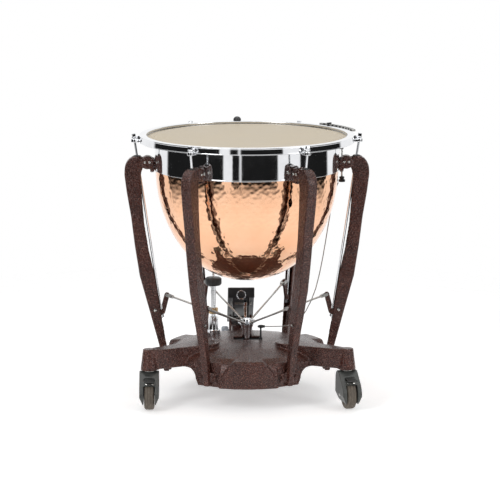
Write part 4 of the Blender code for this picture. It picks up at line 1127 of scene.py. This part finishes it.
# ---- Spring unit and friction knob -----------------------------------
SPRING = (low("spring_tube") + high("spring_tube")) / 2
TUBE_LOW, TUBE_HIGH = low("spring_tube").z, high("spring_tube").z
KNOB_LOW, KNOB_HIGH = low("spring_knob").z, high("spring_knob").z
KNOB_RADIUS = half_width("spring_knob")
SPRING_FRAME = Matrix.Translation((SPRING.x, SPRING.y, 0))


def spring_tube_mesh():
    deck = TUBE_LOW + 0.0397
    outline = [(0.0097, TUBE_LOW), (0.0158, TUBE_LOW), (0.0158, deck), (0.0215, deck),
               (0.0224, deck + 0.001), (0.0224, deck + 0.0145), (0.0212, deck + 0.016),
               (0.0163, deck + 0.0163), (0.0158, deck + 0.0185),
               (0.0158, TUBE_HIGH - 0.008), (0.0152, TUBE_HIGH - 0.0072), (0.0158, TUBE_HIGH - 0.0064),
               (0.0158, TUBE_HIGH - 0.0008), (0.015, TUBE_HIGH), (0.0097, TUBE_HIGH)]
    return lathe(outline, segments=64, ring=True)


piece("spring_housing", spring_tube_mesh(), CHROME, "frame", ["spring_tube"], place=SPRING_FRAME)


def spring_rod_mesh():
    base, top = low("spring_rod").z, high("spring_rod").z
    seat = KNOB_LOW
    profile = [(0, base), (0.0078, base), (0.0079, TUBE_HIGH + 0.01)]
    profile += [(0.0079, seat - 0.03), (0.0084, seat - 0.0295), (0.0084, seat - 0.018)]
    profile += [(0.0076, seat - 0.0175), (0.0076, seat - 0.0022), (0.004, seat - 0.0018)]
    profile += threaded(0.0039, seat - 0.001, top - 0.001, 0.0012, 0.0004)
    profile += [(0, top - 0.0004)]
    return lathe(profile, segments=40)


piece("spring_plunger", spring_rod_mesh(), CHROME, "frame", ["spring_rod"], place=SPRING_FRAME)

SPRING_COLLAR = lathe(
    [(0.008, TUBE_HIGH + 0.0112), (0.0138, TUBE_HIGH + 0.0112), (0.0149, TUBE_HIGH + 0.0124),
     (0.0149, TUBE_HIGH + 0.0165), (0.014, TUBE_HIGH + 0.0176), (0.0149, TUBE_HIGH + 0.0188),
     (0.0149, TUBE_HIGH + 0.0284), (0.0138, TUBE_HIGH + 0.0297), (0.008, TUBE_HIGH + 0.0297)],
    segments=48, ring=True)
piece("spring_collar", SPRING_COLLAR, BRASS, "frame", place=SPRING_FRAME)


def fluted_knob(radius, base, top, flutes, bore=0.0, depth=0.0012):
    """A turned knob whose rim has round flutes."""
    height = top - base
    profile = [(bore, base), (radius * 0.82, base), (radius * 0.95, base + height * 0.1),
               (radius, base + height * 0.24), (radius, base + height * 0.76),
               (radius * 0.95, base + height * 0.9), (radius * 0.8, top - height * 0.02),
               (radius * 0.55, top), (bore, top)]
    b = Build().turned(profile, segments=flutes * 6, ring=bore > 0)
    for vert in b.bm.verts:
        reach = math.hypot(vert.co.x, vert.co.y)
        if reach > radius * 0.93:
            wave = math.cos(math.atan2(vert.co.y, vert.co.x) * flutes) * 0.5 - 0.5
            scale = 1 + wave * depth / reach
            vert.co.x *= scale
            vert.co.y *= scale
    return b.mesh()


piece("spring_handwheel", fluted_knob(KNOB_RADIUS - 0.0002, KNOB_LOW, KNOB_HIGH, 18, 0.0048), BLACK,
      "spring_knob", ["spring_knob"], place=SPRING_FRAME)

FRICTION = PIVOT["friction_knob_turn"]
FRICTION_OUT = FRICTION.x - low("friction_knob").x
FRICTION_IN = high("friction_knob").x - FRICTION.x
FRICTION_FRAME = aim(FRICTION, (-1, 0, 0))
piece("friction_handwheel", fluted_knob(0.0203, 0.01, FRICTION_OUT, 14, 0.0, 0.0014), GREY,
      "friction_knob", ["friction_knob"], place=FRICTION_FRAME)
b = Build().turned([(0, -FRICTION_IN), (0.0043, -FRICTION_IN), (0.0043, 0.0008), (0.0094, 0.0012),
                    (0.0094, 0.0088), (0.012, 0.0096), (0.012, 0.0101), (0, 0.0101)], segments=32)
b.turned([(0, FRICTION_OUT - 0.001), (0.0092, FRICTION_OUT - 0.001), (0.0092, FRICTION_OUT),
          (0, FRICTION_OUT + 0.0002)], segments=32)
piece("friction_spindle", b.mesh(), BLACK, "friction_knob", place=FRICTION_FRAME)


# ---- Tuning gauge and fine tuner -------------------------------------
GAUGE_LOW, GAUGE_HIGH = low("gauge_scale").z, high("gauge_scale").z
GAUGE_INNER, GAUGE_OUTER = HOOP_OUTER + 0.0082, HOOP_OUTER + 0.0198
GAUGE_START, GAUGE_END = math.radians(104), math.radians(136)


def arc_slab(b, inner, outer, start, end, low_z, high_z, steps=32, bevel=0.0):
    """A curved bar about the drum axis between two azimuths."""
    outline = []
    for radius, run in ((outer, range(steps + 1)), (inner, range(steps, -1, -1))):
        for k in run:
            angle = start + (end - start) * k / steps - math.pi / 2
            outline.append((radius * math.cos(angle), radius * math.sin(angle)))
    b.prism(outline, low_z, high_z, bevel=bevel)


def gauge_scale_mesh():
    b = Build()
    arc_slab(b, GAUGE_INNER, GAUGE_OUTER, GAUGE_START, GAUGE_END, GAUGE_LOW + 0.0005, GAUGE_HIGH - 0.0002,
             bevel=0.0009)
    for azimuth in (GAUGE_START + math.radians(3), GAUGE_END - math.radians(3)):
        b.box((HOOP_OUTER + 0.0003, -0.006, GAUGE_LOW), (GAUGE_INNER + 0.002, 0.006, GAUGE_LOW + 0.004),
              Matrix.Rotation(azimuth - math.pi / 2, 4, "Z"), bevel=0.0007)
    return b.mesh()


def gauge_marker_mesh(count=9):
    """Sliding note markers: small black riders on the scale."""
    b = Build()
    for k in range(count):
        share = (k + 0.6) / (count + 0.6)
        azimuth = GAUGE_START + (GAUGE_END - GAUGE_START) * share
        turn = Matrix.Rotation(azimuth - math.pi / 2, 4, "Z")
        b.box((GAUGE_INNER - 0.0006, -0.0046, GAUGE_LOW + 0.0002),
              (GAUGE_OUTER - 0.0022, 0.0046, GAUGE_HIGH + 0.0001), turn, bevel=0.001)
    return b.mesh()


piece("gauge_bar", gauge_scale_mesh(), STEEL, "hoop", ["gauge_scale"], place=ON_AXIS)
piece("gauge_markers", gauge_marker_mesh(), BLACK, "hoop", place=ON_AXIS)

NEEDLE = Build().add(cad_mesh("gauge_pointer")).mesh()
piece("gauge_needle", evaluated(NEEDLE, [("BEVEL", {"width": 0.0006, "segments": 2})]), BLACK,
      "gauge_pointer", ["gauge_pointer"])

GAUGE_ROD = PIVOT["gauge_knob_turn"]
rod_low, rod_high = low("gauge_rod").z, high("gauge_rod").z
profile = [(0, rod_low), (0.0022, rod_low), (0.0029, rod_low + 0.001), (0.0029, rod_high - 0.02),
           (0.0022, rod_high - 0.019), (0.0022, rod_high - 0.015), (0.0029, rod_high - 0.014),
           (0.0029, rod_high - 0.001), (0.002, rod_high), (0, rod_high)]
b = Build().turned(profile, Matrix.Translation((GAUGE_ROD.x, GAUGE_ROD.y, 0)), 20)
bracket = radial_frame(azimuth_of(GAUGE_ROD))
reach = (GAUGE_ROD - AXIS).to_2d().length
b.box((BAND_OUTER + 0.0007, -0.006, rod_high - 0.016), (reach + 0.004, 0.006, rod_high - 0.009),
      bracket, 0.001)
piece("gauge_stay", b.mesh(), STEEL, "frame", ["gauge_rod"])

knob_low, knob_high = low("gauge_knob").z, high("gauge_knob").z
b = Build().turned([(0, knob_low), (0.0095, knob_low), (0.0108, knob_low + 0.001),
                    (0.0108, knob_low + 0.0065),
                    (0.0098, knob_low + 0.0078), (0.0068, knob_low + 0.0082), (0.0062, knob_low + 0.01),
                    (0.0082, knob_low + 0.0112), (0.0084, knob_high - 0.0022), (0.007, knob_high - 0.0006),
                    (0.004, knob_high), (0, knob_high)], segments=40)
piece("gauge_handle", b.mesh(), BLACK, "gauge_knob", ["gauge_knob"],
      place=Matrix.Translation((GAUGE_ROD.x, GAUGE_ROD.y, 0)))

TUNER = PIVOT["fine_tuner_turn"]
cap_low, cap_high = low("fine_tuner_knob").z + 0.02, high("fine_tuner_knob").z
profile = [(0, cap_low - 0.02), (0.0026, cap_low - 0.02)]
profile += threaded(0.003, cap_low - 0.019, cap_low - 0.001, 0.001, 0.0004)
profile += [(0.0115, cap_low), (0.0128, cap_low + 0.001), (0.0129, cap_low + 0.0035),
            (0.0122, cap_low + 0.0066), (0.01, cap_low + 0.01), (0.0066, cap_low + 0.0127),
            (0.003, cap_low + 0.0137), (0, cap_high)]
piece("fine_tuner_cap", lathe(profile, segments=40), BLACK, "fine_tuner",
      ["fine_tuner_knob"], place=Matrix.Translation((TUNER.x, TUNER.y, 0)))
lug = Build().box((HOOP_OUTER - 0.002, -0.0078, cap_low - 0.0118), (0.3635, 0.0078, cap_low - 0.0004),
                  bevel=0.0014)
piece("tuner_bracket", lug.mesh(), CHROME, "hoop", place=radial_frame(azimuth_of(TUNER)))


# ---- Floor, world, lights and camera ---------------------------------
def floor_material():
    """Plain pale floor that fades into the white backdrop at its rim."""
    s = Shader("pale_floor", roughness=0.7)
    s.bsdf.inputs["Base Color"].default_value = (0.9, 0.9, 0.9, 1.0)
    s.bsdf.inputs["Specular IOR Level"].default_value = 0.1
    s.bsdf.inputs["Emission Color"].default_value = (1.0, 1.0, 1.0, 1.0)
    s.bsdf.inputs["Emission Strength"].default_value = 0.45
    distance = s.new("ShaderNodeVectorMath", operation="LENGTH")
    s.link(s.place, distance.inputs[0])
    fade = s.map(distance.outputs["Value"], 0.9, 2.2, 0.0, 1.0)
    clear = s.new("ShaderNodeBsdfTransparent")
    blend = s.mix_shaders(fade, s.bsdf.outputs[0], clear.outputs[0])
    s.link(blend, s.tree.nodes["Material Output"].inputs["Surface"])
    return s.mat


floor_mesh = lathe([(0, -0.001), (2.4, -0.001)], segments=64)
floor_mesh.materials.append(floor_material())
floor = bpy.data.objects.new("floor", floor_mesh)
bpy.context.scene.collection.objects.link(floor)


def studio_world():
    """White to the camera; a dark studio with tall white panels to glossy surfaces."""
    world = bpy.data.worlds.new("studio")
    bpy.context.scene.world = world
    world.use_nodes = True
    nodes = Nodes(world.node_tree)
    nodes.tree.nodes.clear()
    direction = nodes.new("ShaderNodeSeparateXYZ")
    nodes.link(nodes.new("ShaderNodeTexCoord").outputs["Generated"], direction.inputs[0])
    x, y, z = direction.outputs
    turn = nodes.math("ARCTAN2", x, nodes.math("MULTIPLY", y, -1.0))
    share = nodes.math("ADD", nodes.math("DIVIDE", turn, 2 * math.pi), 0.5)
    edge, reach = 0.002, BACKDROP / 360
    walls = [(0.0, 1.0), (0.49 - reach, 1.0), (0.5 - reach, DARK)]
    for start, end, level in PANELS:
        first, last = start / 360 + 0.5, end / 360 + 0.5
        walls += [(first - edge, DARK), (first, level), (last, level), (last + edge, DARK)]
    walls += [(0.5 + reach, DARK), (0.51 + reach, 1.0), (1.0, 1.0)]
    height = nodes.math("ADD", nodes.math("MULTIPLY", z, 0.5), 0.5)
    below = nodes.ramp(height, [(0.0, 1.0), (0.3, 1.0), (0.4, 0.0), (1.0, 0.0)])
    above = nodes.ramp(height, [(0.0, 0.0), (0.66, 0.0), (0.78, 1.0), (1.0, 1.0)])
    studio = nodes.math("MAXIMUM", nodes.math("MAXIMUM", nodes.ramp(share, walls), below), above)
    glossy, soft, plain = [nodes.new("ShaderNodeBackground") for _ in range(3)]
    nodes.link(studio, glossy.inputs["Color"])
    for background, strength in ((glossy, 1.05), (soft, 0.42), (plain, 1.0)):
        background.inputs["Strength"].default_value = strength
        if background is not glossy:
            background.inputs["Color"].default_value = (1.0, 1.0, 1.0, 1.0)
    rays = nodes.new("ShaderNodeLightPath").outputs
    lit = nodes.mix_shaders(rays["Is Glossy Ray"], soft.outputs[0], glossy.outputs[0])
    seen = nodes.mix_shaders(rays["Is Camera Ray"], lit, plain.outputs[0])
    nodes.link(seen, nodes.new("ShaderNodeOutputWorld").inputs["Surface"])


DARK = 0.012
BACKDROP = 116                                  # the white backdrop begins this far round, in degrees
PANELS = ((-30, -19, 1.0), (-10, -8, 0.8), (38, 68, 1.0))     # start, end, level


def area_light(name, place, target, size, power):
    data = bpy.data.lights.new(name, "AREA")
    data.shape = "RECTANGLE"
    data.size, data.size_y = size
    data.energy = power
    light = bpy.data.objects.new(name, data)
    bpy.context.scene.collection.objects.link(light)
    light.location = place
    light.rotation_euler = (Vector(target) - Vector(place)).to_track_quat("-Z", "Y").to_euler()
    return light


studio_world()
MIDDLE = AXIS + Vector((0, 0, 0.45))
area_light("key_light", AXIS + Vector((-2.2, -2.6, 2.4)), MIDDLE, (1.2, 1.6), 42)
area_light("fill_light", AXIS + Vector((2.6, -2.0, 1.6)), MIDDLE, (1.0, 1.8), 22)
area_light("top_light", AXIS + Vector((0, 0.3, 3.2)), MIDDLE, (2.2, 2.2), 26)

CAMERA_DISTANCE, CAMERA_HEIGHT, CAMERA_AZIMUTH, AIM_HEIGHT = 8.0, 1.9, math.radians(-1.2), 0.43
camera_data = bpy.data.cameras.new("camera")
camera_data.lens = 182.49
camera_data.sensor_width = 36.0
camera_data.shift_x, camera_data.shift_y = 0.0062, 0.0246
camera = bpy.data.objects.new("camera", camera_data)
bpy.context.scene.collection.objects.link(camera)
camera.location = AXIS + Vector((CAMERA_DISTANCE * math.sin(CAMERA_AZIMUTH),
                                 -CAMERA_DISTANCE * math.cos(CAMERA_AZIMUTH), CAMERA_HEIGHT))
aim_line = AXIS + Vector((0, 0, AIM_HEIGHT)) - camera.location
camera.rotation_euler = aim_line.to_track_quat("-Z", "Y").to_euler()
bpy.context.scene.camera = camera
bpy.context.scene.view_settings.view_transform = "Standard"
